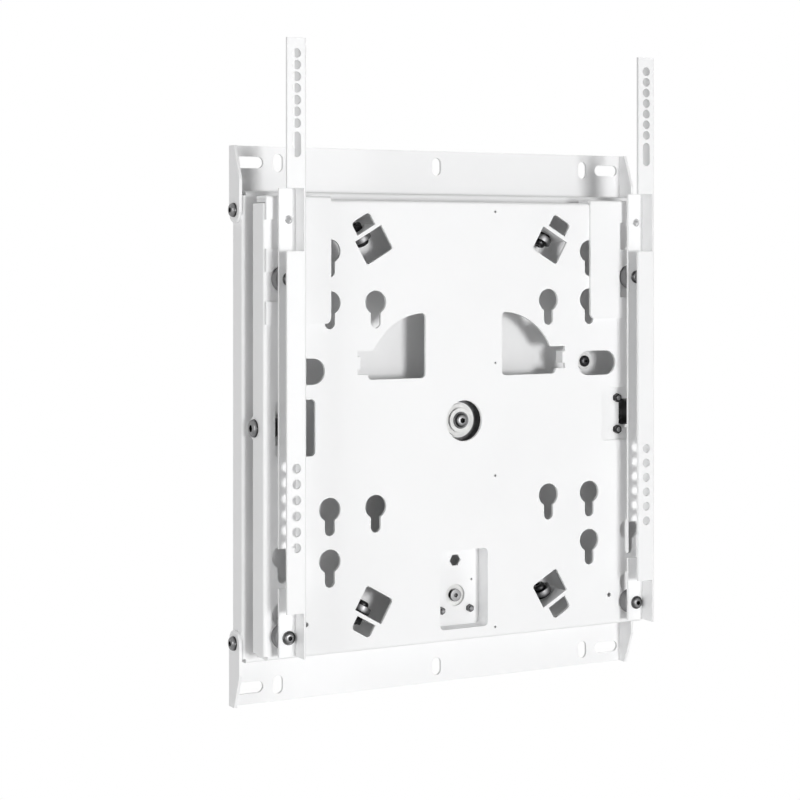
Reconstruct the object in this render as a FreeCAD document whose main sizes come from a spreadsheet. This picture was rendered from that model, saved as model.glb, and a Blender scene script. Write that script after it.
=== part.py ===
"""Rotating wall mount for a television: wall strips, fixed carrier, turning pan and two rails.

The wall plane is Y = 0 and the front faces -Y. X runs to the right, Z up, and the turning
axis is the line X = 0, Z = 0. All lengths are millimetres.
"""
import FreeCAD, Part
import os
import re
import Sketcher

V = FreeCAD.Vector

SIZES = {
    # wall strips: one folded sheet above and one below, with an ear at each end
    "wall_sheet": 3.0,
    "strip_margin": 10.0,
    "strip_high": 61.0,
    "strip_clear": 2.0,
    "ear_depth": 25.0,
    "ear_screw_inset": 18.0,
    "ear_taper": 33.0,
    "ear_tip_depth": 12.0,
    "wall_slot_inset": 16.0,
    "side_slot_inset": 20.5,
    "side_slot_long": 29.0,
    "side_slot_wide": 11.5,
    "slot_spacing": 30.5,
    "upright_slot_long": 18.0,
    "upright_slot_wide": 10.5,
    # carrier: the fixed pan that the four ear screws hold
    "carrier_sheet": 3.0,
    "carrier_front": 25.0,
    "carrier_margin": 8.0,
    "bend_radius": 3.2,
    "guide_inset": 54.0,
    "guide_rise": 54.0,
    # rotor: the pan that turns in front of the carrier
    "rotor_side": 440.0,
    "rotor_depth": 25.0,
    "rotor_gap": 10.0,
    "rotor_sheet": 3.0,
    "corner_notch": 4.2,
    "rail_inset": 20.0,
    "rail_key_pitch": 55.0,
    "centre_hole": 41.0,
    "grid_small": 200.0,
    "grid_large": 300.0,
    "key_head": 23.0,
    "key_slot": 10.8,
    "key_rise": 20.0,
    "window_start": 44.3,
    "window_radius": 64.5,
    "window_corner": 4.5,
    "notch_end": 120.0,
    "notch_low": 49.6,
    "notch_high": 72.4,
    "notch_tab": 12.0,
    "access_high": 25.4,
    "right_access_inner": 30.0,
    "right_access_outer": 17.0,
    "left_access_inner": 10.7,
    "left_access_outer": 36.0,
    "side_window_wide": 42.4,
    "side_window_inset": 12.0,
    "side_window_high": 54.8,
    "box_window_wide": 55.0,
    "box_window_tall": 78.7,
    "box_window_inset": 12.0,
    "sighting_hole": 2.5,
    "sighting_across": 36.4,
    "sighting_inset": 10.0,
    "sighting_inner": 57.0,
    "corner_hole": 4.5,
    "corner_hole_inset": 45.0,
    "corner_hole_rise": 31.0,
    # lugs: four tongues folded back, each with a steel roller
    "lug_angle": 60.0,
    "lug_inset": 3.5,
    "lug_wide": 29.0,
    "lug_depth": 31.0,
    "lug_window_wide": 33.0,
    "lug_window_long": 26.5,
    "lug_band": 3.8,
    "nut_window_wide": 22.5,
    "nut_window_long": 14.0,
    # steel rollers
    "roller_outer": 22.0,
    "roller_wide": 7.0,
    "roller_race": 12.0,
    "roller_washer": 2.0,
    "roller_washer_outer": 16.0,
    "running_gap": 0.3,
    "fit_gap": 0.08,
    # side wheels on shoulder bolts
    "axle_setback": 21.0,
    "axle_shaft": 10.0,
    "axle_head": 17.5,
    "axle_head_high": 5.5,
    "ear_round": 12.0,
    "wheel_outer": 27.4,
    "wheel_wide": 26.0,
    "wheel_inset": 7.0,
    "wheel_slope": 5.2,
    "wheel_washer": 18.0,
    "wheel_round": 1.5,
    "arm_sheet": 3.0,
    "arm_inset": 39.5,
    "arm_round": 8.2,
    "bracket_sheet": 3.0,
    "bracket_high": 64.0,
    "bracket_wide": 56.0,
    "bracket_inset": 7.0,
    "bracket_notch_gap": 8.5,
    "bracket_notch_high": 31.0,
    "bracket_screw_set": 5.5,
    "bracket_screw_rise": 16.5,
    "arm_foot_wide": 10.5,
    "arm_foot_half": 22.0,
    "arm_notch_high": 24.0,
    # hub
    "cup_outer": 100.0,
    "cup_inner": 64.0,
    "cup_depth": 12.0,
    "cup_sheet": 3.0,
    "bush_outer": 26.0,
    "bush_flange": 33.0,
    "bush_flange_thick": 2.0,
    "journal": 20.0,
    "axle_neck": 31.0,
    "axle_foot": 70.0,
    "axle_foot_thick": 4.0,
    "axle_tail": 24.0,
    "hub_washer_outer": 25.0,
    "hub_washer_thick": 2.5,
    "hub_screw_head": 17.0,
    # hangers
    "hanger_sheet": 3.0,
    "hanger_inset": 1.5,
    "hanger_high": 120.0,
    "hanger_tooth": 22.0,
    "hanger_gap": 28.0,
    "hanger_notch_clear": 13.5,
    "hanger_corner": 6.0,
    "hanger_hook": 20.0,
    "hanger_room": 1.5,
    # rails
    "rail_sheet": 3.0,
    "rail_depth": 21.0,
    "rail_wide": 20.5,
    "rail_web": 10.5,
    "rail_head_room": 80.5,
    "rail_low_inset": 5.0,
    "back_flange_over": 9.5,
    "back_notch_top": 112.0,
    "back_notch_low": 150.0,
    "front_gap_over": 9.4,
    "front_gap_long": 59.4,
    "front_gap_low": 171.5,
    "tv_hole": 9.0,
    "tv_top": 290.5,
    "tv_pitch": 400.0,
    "upper_pitch": 11.0,
    "lower_pitch": 15.0,
    "tv_slot_long": 24.0,
    "tv_slot_drop": 8.0,
    "rail_sight_inset": 20.0,
    "rail_sight": 8.0,
    "rail_screw_lift": 43.4,
    "rail_screw_inset": 23.0,
    "spacer_outer": 25.0,
    "spacer_long": 10.5,
    # latch
    "box_sheet": 2.5,
    "box_depth": 18.0,
    "box_hex": 11.0,
    "box_hex_rise": 65.6,
    "lock_rise": 30.3,
    "lock_port": 22.0,
    "lock_screw_across": 16.6,
    "lock_screw_rise": 16.0,
    "lock_head": 11.0,
    "lock_head_high": 5.0,
    "lock_pin": 8.0,
    "lock_lift": 3.0,
    "lock_block_wide": 46.0,
    "lock_block_deep": 8.5,
    "lock_block_round": 6.0,
    "lock_sink": 12.5,
    "lock_small_hole": 2.5,
    "lock_small_across": 19.0,
    "lock_small_rise": 45.0,
    "lock_hole": 9.0,
    # fasteners: rim, crown and socket are shares of a head's height or of its socket
    "head_rim": 0.4,
    "crown": 0.85,
    "socket_deep": 0.7,
    "bolt": 8.0,
    "bolt_hole": 8.4,
    "rail_head": 12.5,
    "nut_flange": 17.0,
    "nut_flange_high": 1.6,
    "bolt_head": 14.0,
    "bolt_head_high": 4.5,
    "bolt_socket": 5.0,
    "nut_across": 13.0,
    "nut_high": 6.5,
    "axle_socket": 6.0,
    "small_socket": 3.0,
    "guide_nut_across": 10.0,
    "small_bolt": 5.0,
    "small_hole": 5.3,
    "small_head": 9.0,
    "small_head_high": 3.0,
    "small_across": 8.0,
    "small_nut_high": 4.0,
    "guide_bolt": 6.0,
    "guide_hole": 6.4,
    "guide_head": 12.0,
    "guide_head_high": 3.3,
    "guide_spacer": 18.0,
    "guide_spacer_high": 1.5,
}

# places that follow from the sizes above
TIED = {
    "rail_column": "rotor_side / 2 - rail_inset",
    "strip_width": "rotor_side + 2 * strip_margin",
    "strip_reach": "strip_inner + strip_high",
    "strip_inner": "ear_screw_rise + strip_clear",
    "ear_screw_rise": "carrier_height / 2 - ear_screw_inset",
    "ear_taper_start": "strip_reach - ear_taper",
    "wall_slot_rise": "strip_reach - wall_slot_inset",
    "side_slot_centre": "strip_width / 2 - side_slot_inset",
    "upright_slot_centre": "side_slot_centre - slot_spacing",
    "carrier_height": "rotor_side + 2 * carrier_margin",
    "guide_across": "rotor_side / 2 - guide_inset",
    "access_rise": "guide_rise",
    "right_access_start": "guide_across - right_access_inner",
    "right_access_end": "guide_across + right_access_outer",
    "left_access_start": "guide_across - left_access_inner",
    "left_access_end": "guide_across + left_access_outer",
    "side_window_start": "side_window_end - side_window_wide",
    "side_window_end": "rotor_side / 2 - side_window_inset",
    "box_window_top": "box_window_low - box_window_tall",
    "box_window_low": "rotor_side / 2 - box_window_inset",
    "sighting_outer": "rotor_side / 2 - sighting_inset",
    "corner_hole_across": "rotor_side / 2 - corner_hole_inset",
    "corner_hole_drop": "rotor_side / 2 - corner_hole_rise",
    "lug_radius": "rotor_side / 2 - lug_inset",
    "lug_window_start": "lug_radius - lug_window_long",
    "wheel_start": "wheel_end - wheel_wide",
    "wheel_end": "rotor_side / 2 - wheel_inset",
    "arm_face": "rotor_side / 2 - arm_inset",
    "bracket_start": "bracket_end - bracket_wide",
    "bracket_end": "rotor_side / 2 - bracket_inset",
    "bracket_notch_start": "arm_face + bracket_notch_gap",
    "bracket_screw_across": "arm_face + bracket_screw_set",
    "arm_foot_end": "arm_face + arm_foot_wide",
    "hanger_inner": "grid_large / 2",
    "hanger_outer": "rotor_side / 2 - hanger_inset",
    "hanger_low": "rotor_side / 2 - hanger_high",
    "hanger_notch": "rail_column - hanger_notch_clear",
    "rail_top": "tv_top + rail_head_room",
    "rail_low": "rotor_side / 2 - rail_low_inset",
    "back_flange_top": "rotor_side / 2 + back_flange_over",
    "front_gap_top": "rotor_side / 2 + front_gap_over",
    "front_gap_start": "front_gap_top - front_gap_long",
    "tv_slot_low": "tv_slot_high - tv_slot_long",
    "tv_slot_high": "tv_top - tv_slot_drop",
    "rail_sight_rise": "rotor_side / 2 - rail_sight_inset",
    "rail_screw_top": "hanger_low + rail_screw_lift",
    "rail_screw_low": "rotor_side / 2 - rail_screw_inset",
    "box_hex_drop": "box_window_low - box_hex_rise",
    "lock_drop": "box_window_low - lock_rise",
    "lock_screw_drop": "box_window_low - lock_screw_rise",
    "lock_small_drop": "box_window_low - lock_small_rise",
}

# distances in front of the wall plane that several pieces share
ROTOR_FACE = "(carrier_front + rotor_gap + rotor_depth)"
ROTOR_BACK = f"({ROTOR_FACE} - rotor_sheet)"
AXLE_LINE = f"({ROTOR_FACE} - axle_setback)"
ROLLER_LINE = "(carrier_front + running_gap + roller_outer / 2)"
CUP_FLOOR = f"({ROTOR_BACK} - cup_depth + cup_sheet)"
BUSH_BACK = f"({ROTOR_BACK} - cup_depth)"
BUSH_FRONT = f"({CUP_FLOOR} + bush_flange_thick)"
JOURNAL_END = f"({BUSH_FRONT} + running_gap)"
RAIL_BACK = f"({ROTOR_FACE} + spacer_long)"
BOX_FLOOR = f"({ROTOR_BACK} - box_depth)"
BOLT_SEAT = "(lug_radius - roller_washer - roller_wide)"

WORD = re.compile(r"[A-Za-z_][A-Za-z_0-9]*")
FRONT = (V(1, 0, 0), 90)
BACK = (V(1, 0, 0), -90)
RIGHT = (V(0, 1, 0), 90)
LEFT = (V(0, 1, 0), -90)


def open_document():
    """The document and its sheet of driving sizes, one alias for each row."""
    document = FreeCAD.newDocument("wall_mount")
    sheet = document.addObject("Spreadsheet::Sheet", "dims")
    for row, (name, size) in enumerate(SIZES.items(), start=1):
        sheet.set(f"A{row}", name)
        sheet.set(f"B{row}", str(size))
        sheet.setAlias(f"B{row}", name)
    document.recompute()
    return document, sheet


doc, dims = open_document()


def full(text):
    """The expression in the sheet's own cells, with every tied place written out."""
    def swap(word):
        if word[0] in TIED:
            return f"({full(TIED[word[0]])})"
        return f"dims.{word[0]}" if word[0] in SIZES else word[0]
    return WORD.sub(swap, str(text))


def bind(thing, path, text):
    thing.setExpression(path, full(text))


def value(text):
    """The number that an expression gives with the sheet as it stands."""
    found = dims.evalExpression(full(text))
    return float(getattr(found, "Value", found))


def place(thing, x="0", y="0", z="0", turn=(V(0, 0, 1), 0)):
    """Placement with the position bound to the sheet. The turn is an axis and degrees."""
    thing.Placement = FreeCAD.Placement(V(value(x), value(y), value(z)), FreeCAD.Rotation(*turn))
    for axis, text in zip("xyz", (x, y, z)):
        bind(thing, f"Placement.Base.{axis}", text)


def new_body(label, **where):
    body = doc.addObject("PartDesign::Body", label)
    body.Label = label
    place(body, **where)
    return body


def new_sketch(body, plane="XZ_Plane", offset="0"):
    """A sketch on one of the body's own planes, moved along its normal."""
    sketch = body.newObject("Sketcher::SketchObject", f"{body.Name}_outline")
    support = next(item for item in body.Origin.OriginFeatures if item.Role == plane)
    sketch.AttachmentSupport = [(support, "")]
    sketch.MapMode = "FlatFace"
    bind(sketch, "AttachmentOffset.Base.z", offset)
    return sketch


def hold(sketch, kind, *items):
    """Adds a dimension whose last item is an expression."""
    number = sketch.addConstraint(Sketcher.Constraint(kind, *items[:-1], value(items[-1])))
    bind(sketch, f"Constraints[{number}]", items[-1])


def hold_point(sketch, shape, point, x, y):
    hold(sketch, "DistanceX", -1, 1, shape, point, x)
    hold(sketch, "DistanceY", -1, 1, shape, point, y)


def draw_polygon(sketch, points):
    """Closed straight outline. Each corner is held by its own pair of lengths."""
    spots = [V(value(x), value(y), 0) for x, y in points]
    first = sketch.GeometryCount
    count = len(spots)
    for index, spot in enumerate(spots):
        sketch.addGeometry(Part.LineSegment(spot, spots[(index + 1) % count]), False)
    for index in range(count):
        joined = Sketcher.Constraint("Coincident", first + index, 2, first + (index + 1) % count, 1)
        sketch.addConstraint(joined)
    for index, (x, y) in enumerate(points):
        hold_point(sketch, first + index, 1, x, y)


def draw_box(sketch, left, low, right, high):
    draw_polygon(sketch, [(left, low), (right, low), (right, high), (left, high)])


def draw_circle(sketch, x, y, across):
    circle = Part.Circle(V(value(x), value(y), 0), V(0, 0, 1), value(across) / 2)
    index = sketch.addGeometry(circle, False)
    hold_point(sketch, index, 3, x, y)
    hold(sketch, "Diameter", index, across)


def draw_hexagon(sketch, x, y, across):
    """Hexagon with two flats level, by its size across the flats."""
    wide, half = f"({across}) / sqrt(3)", f"({across}) / 2"
    corners = [(wide, "0"), (f"{wide} / 2", half), (f"-{wide} / 2", half), (f"-{wide}", "0"),
               (f"-{wide} / 2", f"-{half}"), (f"{wide} / 2", f"-{half}")]
    draw_polygon(sketch, [(f"{x} + {across_x}", f"{y} + {up}") for across_x, up in corners])


def arc(sketch, x, y, radius, start, end):
    """Counter-clockwise arc from start to end degrees. Its radius and centre stay free."""
    circle = Part.Circle(V(value(x), value(y), 0), V(0, 0, 1), value(radius))
    turn = FreeCAD.Units.parseQuantity("1 rad").getValueAs("deg").Value
    return sketch.addGeometry(Part.ArcOfCircle(circle, start / turn, end / turn), False)


def line(sketch, start, end):
    return sketch.addGeometry(Part.LineSegment(V(*start, 0), V(*end, 0)), False)


def draw_slot(sketch, x, y, length, width, upright=False):
    """Slot with round ends, by its whole length and its width."""
    reach = f"(({length}) - ({width})) / 2"
    dx, dy = ("0", reach) if upright else (reach, "0")
    radius = f"({width}) / 2"
    ends = [(f"{x} - {dx}", f"{y} - {dy}"), (f"{x} + {dx}", f"{y} + {dy}")]
    base = 180 if upright else 90
    low = arc(sketch, *ends[0], radius, base, base + 180)
    high = arc(sketch, *ends[1], radius, base + 180, base + 360)
    (ax, ay), (bx, by) = [(value(u), value(v)) for u, v in ends]
    half = value(radius)
    sx, sy = (half, 0) if upright else (0, -half)
    one = line(sketch, (ax + sx, ay + sy), (bx + sx, by + sy))
    two = line(sketch, (bx - sx, by - sy), (ax - sx, ay - sy))
    for pair in ((low, 2, one, 1), (one, 2, high, 1), (high, 2, two, 1), (two, 2, low, 1)):
        sketch.addConstraint(Sketcher.Constraint("Tangent", *pair))
    sketch.addConstraint(Sketcher.Constraint("Equal", low, high))
    hold(sketch, "Radius", low, radius)
    hold_point(sketch, low, 3, *ends[0])
    hold_point(sketch, high, 3, *ends[1])


def draw_keyhole(sketch, x, y):
    """Keyhole: a round head above a slot, placed by the slot's end centre."""
    head, half, rise = value("key_head") / 2, value("key_slot") / 2, value("key_rise")
    lean = value("asin(key_slot / key_head)")
    top = arc(sketch, x, f"{y} + key_rise", "key_head / 2", lean - 90, 270 - lean)
    low = arc(sketch, x, y, "key_slot / 2", 180, 360)
    cx, cy = value(x), value(y)
    neck = cy + rise - (head ** 2 - half ** 2) ** 0.5
    left = line(sketch, (cx - half, neck), (cx - half, cy))
    right = line(sketch, (cx + half, cy), (cx + half, neck))
    for kind, *items in (("Coincident", top, 2, left, 1), ("Tangent", left, 2, low, 1),
                         ("Tangent", low, 2, right, 1), ("Coincident", right, 2, top, 1),
                         ("Vertical", left), ("Vertical", right)):
        sketch.addConstraint(Sketcher.Constraint(kind, *items))
    hold(sketch, "Diameter", top, "key_head")
    hold(sketch, "Diameter", low, "key_slot")
    hold_point(sketch, top, 3, x, f"{y} + key_rise")
    hold_point(sketch, low, 3, x, y)


def grow(body, sketch, length, backward=True):
    """Pad from the sketch: backward is against the plane's normal."""
    pad = body.newObject("PartDesign::Pad", f"{body.Name}_pad")
    pad.Profile = sketch
    bind(pad, "Length", length)
    pad.Reversed = backward
    sketch.Visibility = False
    doc.recompute()
    return pad


def cut(body, sketch, length=None, backward=True, both=False):
    """Pocket by a length or, with none, through everything. It has to take material away."""
    before = body.Shape.Volume
    pocket = body.newObject("PartDesign::Pocket", f"{body.Name}_pocket")
    pocket.Profile = sketch
    if length is None:
        pocket.Type = "ThroughAll"
    else:
        bind(pocket, "Length", length)
    pocket.Reversed = not backward
    pocket.Midplane = both
    doc.recompute()
    if body.Shape.Volume > before - 0.01:
        raise RuntimeError(f"{pocket.Name} cuts nothing")
    return pocket


def spin(body, points):
    """Solid of revolution about the body's own Z axis from (radius, height) corners."""
    sketch = new_sketch(body)
    draw_polygon(sketch, points)
    turned = body.newObject("PartDesign::Revolution", f"{body.Name}_turned")
    turned.Profile = sketch
    turned.ReferenceAxis = (sketch, ["V_Axis"])
    turned.Angle = 360
    doc.recompute()
    return turned


def soften(body, radius, chosen):
    """Fillets every straight edge that the test chooses by its two ends."""
    base, names = body.Tip, []
    for number, edge in enumerate(base.Shape.Edges, start=1):
        if len(edge.Vertexes) == 2 and edge.Curve.TypeId == "Part::GeomLine":
            if chosen(*(vertex.Point for vertex in edge.Vertexes)):
                names.append(f"Edge{number}")
    if not names:
        raise RuntimeError(f"{body.Name} has no edge to round")
    fillet = body.newObject("PartDesign::Fillet", f"{body.Name}_round")
    fillet.Base = (base, names)
    bind(fillet, "Radius", radius)
    doc.recompute()
    return fillet


def near(a, b):
    return abs(a - b) < 0.01


def runs_deep(x, z):
    """Test for an edge along Y that stands at the given places across and up."""
    wide, high = value(x), value(z)
    return lambda p, q: (near(abs(p.x), wide) and near(abs(p.z), high)
                         and near(p.x, q.x) and near(p.z, q.z))


def copies(label, source, places):
    """One node of several equal solids: links to the source, each at its own place."""
    links = []
    for where in places:
        link = doc.addObject("App::Link", f"{label}_copy")
        link.LinkedObject = source
        place(link, **where)
        links.append(link)
    group = doc.addObject("Part::Compound", label)
    group.Links = links
    group.Label = label
    return group


def wall_strip(label, turn):
    """Folded strip that screws to the wall, with a tapered ear at each end."""
    body = new_body(label, turn=turn)
    face = new_sketch(body, offset="wall_sheet")
    draw_box(face, "-strip_width / 2", "strip_inner", "strip_width / 2", "strip_reach")
    grow(body, face, "wall_sheet")
    low = "ear_screw_rise - ear_depth / 2"
    for side, backward in (("", True), ("-", False)):
        ear = new_sketch(body, "YZ_Plane", f"{side}strip_width / 2")
        draw_polygon(ear, [("0", low), ("-ear_depth", low), ("-ear_depth", "ear_taper_start"),
                           ("-ear_tip_depth", "strip_reach"), ("0", "strip_reach")])
        grow(body, ear, "wall_sheet", backward)
    foot = value(low)
    soften(body, "ear_depth / 2 - 0.05",
           lambda p, q: near(p.z, foot) and near(q.z, foot) and near(p.y, q.y))
    slots = new_sketch(body, offset="wall_sheet")
    for side in ("", "-"):
        draw_slot(slots, f"{side}side_slot_centre", "wall_slot_rise",
                  "side_slot_long", "side_slot_wide")
    for across in ("0", "upright_slot_centre", "-upright_slot_centre"):
        draw_slot(slots, across, "wall_slot_rise", "upright_slot_long", "upright_slot_wide", True)
    cut(body, slots)
    holes = new_sketch(body, "YZ_Plane", "strip_width / 2")
    draw_circle(holes, "-ear_depth / 2", "ear_screw_rise", "bolt_hole")
    cut(body, holes)
    return body


def pan_shell(body, width, height, depth, sheet):
    """Open-backed pan with rounded front bends and slit corners, its face at the body's Y = 0."""
    face = new_sketch(body)
    draw_box(face, f"-{width} / 2", f"-{height} / 2", f"{width} / 2", f"{height} / 2")
    grow(body, face, depth)
    soften(body, "bend_radius", lambda p, q: near(p.y, 0) and near(q.y, 0))
    hollow = new_sketch(body, offset=f"-({depth})")
    draw_box(hollow, f"-{width} / 2 + {sheet}", f"-{height} / 2 + {sheet}",
             f"{width} / 2 - {sheet}", f"{height} / 2 - {sheet}")
    cut(body, hollow, f"{depth} - {sheet}", backward=False)


def slit_corners(body, width, height):
    corners = new_sketch(body, offset="bend_radius")
    for sx in ("", "-"):
        for sz in ("", "-"):
            draw_box(corners, f"{sx}({width} / 2 - corner_notch)", f"{sz}({height} / 2 - corner_notch)",
                     f"{sx}({width} / 2 + 1)", f"{sz}({height} / 2 + 1)")
    cut(body, corners)


def carrier_pan():
    """Fixed pan between the ears: the rollers run on its face."""
    body = new_body("carrier_pan", y="-carrier_front")
    width = "(strip_width - 2 * wall_sheet)"
    pan_shell(body, width, "carrier_height", "(carrier_front - wall_sheet)", "carrier_sheet")
    slit_corners(body, width, "carrier_height")
    holes = new_sketch(body)
    draw_circle(holes, "0", "0", "axle_tail")
    draw_circle(holes, "0", "-lock_drop", "lock_hole")
    draw_circle(holes, "-lock_drop", "0", "lock_hole")
    for side in ("", "-"):
        draw_circle(holes, f"{side}guide_across", "guide_rise", "guide_hole")
    cut(body, holes, "carrier_sheet")
    ears = new_sketch(body, "YZ_Plane", "strip_width / 2")
    for side in ("", "-"):
        draw_circle(ears, "carrier_front - ear_depth / 2", f"{side}ear_screw_rise", "bolt_hole")
    cut(body, ears)
    return body


def spoke_point(radius, across, sx, sz):
    """Place of a point beside a lug's radial line, in the quarter with the given signs."""
    x = f"{sx}(({radius}) * cos(lug_angle) - ({across}) * sin(lug_angle))"
    z = f"{sz}(({radius}) * sin(lug_angle) + ({across}) * cos(lug_angle))"
    return x, z


QUARTERS = (("", ""), ("-", ""), ("-", "-"), ("", "-"))


def draw_spoke_boxes(sketch, inner, outer, wide):
    """One rectangle on each lug's radial line, from the inner to the outer radius."""
    for sx, sz in QUARTERS:
        draw_polygon(sketch, [spoke_point(r, t, sx, sz) for r, t in
                              ((inner, f"-{wide} / 2"), (outer, f"-{wide} / 2"),
                               (outer, f"{wide} / 2"), (inner, f"{wide} / 2"))])


def rotor_lugs(body):
    """Face plate with the four tongues folded back and their bolt holes."""
    face = new_sketch(body)
    draw_box(face, "-rotor_side / 2", "-rotor_side / 2", "rotor_side / 2", "rotor_side / 2")
    grow(body, face, "rotor_sheet")
    windows = new_sketch(body)
    draw_spoke_boxes(windows, "lug_window_start", "lug_radius", "lug_window_wide")
    start = "(lug_radius + lug_band)"
    draw_spoke_boxes(windows, start, f"{start} + nut_window_long", "nut_window_wide")
    cut(body, windows)
    lugs = new_sketch(body)
    draw_spoke_boxes(lugs, "lug_radius", "lug_radius + rotor_sheet", "lug_wide")
    grow(body, lugs, "lug_depth")
    for lean in ("lug_angle", "180 - lug_angle"):
        drill = new_sketch(body, "YZ_Plane")
        turn = FreeCAD.Rotation(V(1, 0, 0), -value(lean))
        drill.AttachmentOffset = FreeCAD.Placement(V(0, 0, 0), turn)
        draw_circle(drill, f"{ROTOR_FACE} - {ROLLER_LINE}", "0", "bolt_hole")
        cut(body, drill, both=True)


def rotor_rim(body):
    """Flanges round the face plate, with a round tab for each side axle."""
    rim = new_sketch(body)
    draw_box(rim, "-rotor_side / 2", "-rotor_side / 2", "rotor_side / 2", "rotor_side / 2")
    inner = "(rotor_side / 2 - rotor_sheet)"
    draw_box(rim, f"-{inner}", f"-{inner}", inner, inner)
    grow(body, rim, "rotor_depth")
    half = value("rotor_side / 2")
    soften(body, "bend_radius",
           lambda p, q: near(p.y, 0) and near(q.y, 0) and (near(abs(p.x), half) and near(p.x, q.x)
                                                          or near(abs(p.z), half) and near(p.z, q.z)))
    slit_corners(body, "rotor_side", "rotor_side")
    for side, backward in (("", True), ("-", False)):
        tab = new_sketch(body, "YZ_Plane", f"{side}rotor_side / 2")
        draw_circle(tab, "axle_setback", "0", "2 * ear_round")
        grow(body, tab, "rotor_sheet", backward)
    holes = new_sketch(body, "YZ_Plane", "rotor_side / 2")
    draw_circle(holes, "axle_setback", "0", "axle_shaft + 2 * fit_gap")
    cut(body, holes)


def rotor_keyholes(body):
    """Keyholes on the standard grids, and on the two rail columns."""
    small, large, outer = "grid_small / 2", "grid_large / 2", "rail_column"
    places = [(large, large), (large, small), (small, small), (large, f"-{large}"),
              (large, f"-{small}"), (small, f"-{small}"), (outer, "-rail_screw_low + rail_key_pitch"),
              (outer, "rail_screw_top"), (outer, "-rail_screw_low")]
    for side in ("", "-"):
        for start in range(0, len(places), 3):
            keys = new_sketch(body)
            for x, z in places[start:start + 3]:
                draw_keyhole(keys, f"{side}{x}", z)
            cut(body, keys, "rotor_sheet")


def quarter_window(body, side):
    """Quarter disc that opens up and outward, with a notch in its curved side."""
    sign = -1 if side else 1
    x, z, r = value("window_start") * sign, value("window_start"), value("window_radius")
    window = new_sketch(body)
    ends = ((x + sign * r, z), (x, z + r))
    base = line(window, (x, z), ends[0])
    span = (90, 180) if side else (0, 90)
    bow = arc(window, str(x), str(z), "window_radius", *span)
    stem = line(window, ends[1], (x, z))
    first, last = (2, 1) if side else (1, 2)
    for kind, *items in (("Coincident", base, 2, bow, first), ("Coincident", bow, last, stem, 1),
                         ("Coincident", stem, 2, base, 1), ("Coincident", bow, 3, base, 1),
                         ("Horizontal", base), ("Vertical", stem)):
        window.addConstraint(Sketcher.Constraint(kind, *items))
    hold(window, "Radius", bow, "window_radius")
    hold_point(window, base, 1, f"{side}window_start", "window_start")
    cut(body, window, "rotor_sheet")
    notch = new_sketch(body)
    inner = "(window_start + window_radius / 2)"
    draw_box(notch, f"{side}{inner}", "notch_low", f"{side}notch_end", "notch_high")
    cut(body, notch, "rotor_sheet")
    tab = new_sketch(body)
    middle = "(notch_low + notch_high) / 2"
    draw_box(tab, f"{side}(notch_end - rotor_sheet)", f"{middle} - notch_tab / 2",
             f"{side}notch_end", f"{middle} + notch_tab / 2")
    grow(body, tab, "notch_tab")


def rotor_windows(body):
    """Access slots, side windows, the lock's window and the round holes."""
    slots = new_sketch(body)
    for side, start, end in (("", "right_access_start", "right_access_end"),
                             ("-", "left_access_start", "left_access_end")):
        draw_slot(slots, f"{side}({start} + {end}) / 2", "access_rise",
                  f"{end} - {start}", "access_high")
    cut(body, slots, "rotor_sheet")
    boxes = new_sketch(body)
    for side in ("", "-"):
        draw_box(boxes, f"{side}side_window_start", "-side_window_high / 2",
                 f"{side}side_window_end", "side_window_high / 2")
    draw_box(boxes, "-box_window_wide / 2", "-box_window_low",
             "box_window_wide / 2", "-box_window_top")
    draw_circle(boxes, "0", "0", "centre_hole")
    for side in ("", "-"):
        draw_circle(boxes, f"{side}corner_hole_across", "-corner_hole_drop", "corner_hole")
        draw_circle(boxes, "sighting_across", f"{side}sighting_outer", "sighting_hole")
        draw_circle(boxes, "sighting_across", f"{side}sighting_inner", "sighting_hole")
    cut(body, boxes, "rotor_sheet")


def round_windows(body):
    """Rounds the corners of the windows that are not made of arcs."""
    side = [runs_deep(x, "side_window_high / 2") for x in ("side_window_start", "side_window_end")]
    low = [runs_deep("box_window_wide / 2", z) for z in ("box_window_low", "box_window_top")]
    pane = [runs_deep("window_start", "window_start"),
            runs_deep("window_start + window_radius", "window_start"),
            runs_deep("window_start", "window_start + window_radius")]
    soften(body, "window_corner", lambda p, q: any(test(p, q) for test in side + low + pane))


def rotor_pan():
    """The turning pan, with everything that is cut from it or folded out of it."""
    body = new_body("rotor_pan", y=f"-{ROTOR_FACE}")
    rotor_lugs(body)
    rotor_rim(body)
    rotor_keyholes(body)
    quarter_window(body, "")
    quarter_window(body, "-")
    rotor_windows(body)
    round_windows(body)
    return body


def button_bolt(name, across, head, high, length, socket):
    """Button-head bolt, its head above Z = 0 and its shank below, with a hexagon socket."""
    body = new_body(name)
    spin(body, [("0", f"-({length})"), (f"{across} / 2", f"-({length})"), (f"{across} / 2", "0"),
                (f"{head} / 2", "0"), (f"{head} / 2", f"{high} * head_rim"),
                (f"{socket} * crown", high), ("0", high)])
    key = new_sketch(body, "XY_Plane", high)
    draw_hexagon(key, "0", "0", socket)
    cut(body, key, f"{high} * socket_deep")
    return body


def hex_nut(name, across, hole, high):
    """Hexagon nut that stands on Z = 0."""
    body = new_body(name)
    outline = new_sketch(body, "XY_Plane")
    draw_hexagon(outline, "0", "0", across)
    draw_circle(outline, "0", "0", hole)
    grow(body, outline, high, backward=False)
    return body


def ring(name, outer, inner, thick, **where):
    """Plain washer, spacer or race that stands on Z = 0."""
    body = new_body(name, **where)
    spin(body, [(f"{inner} / 2", "0"), (f"{outer} / 2", "0"),
                (f"{outer} / 2", thick), (f"{inner} / 2", thick)])
    return body


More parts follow.
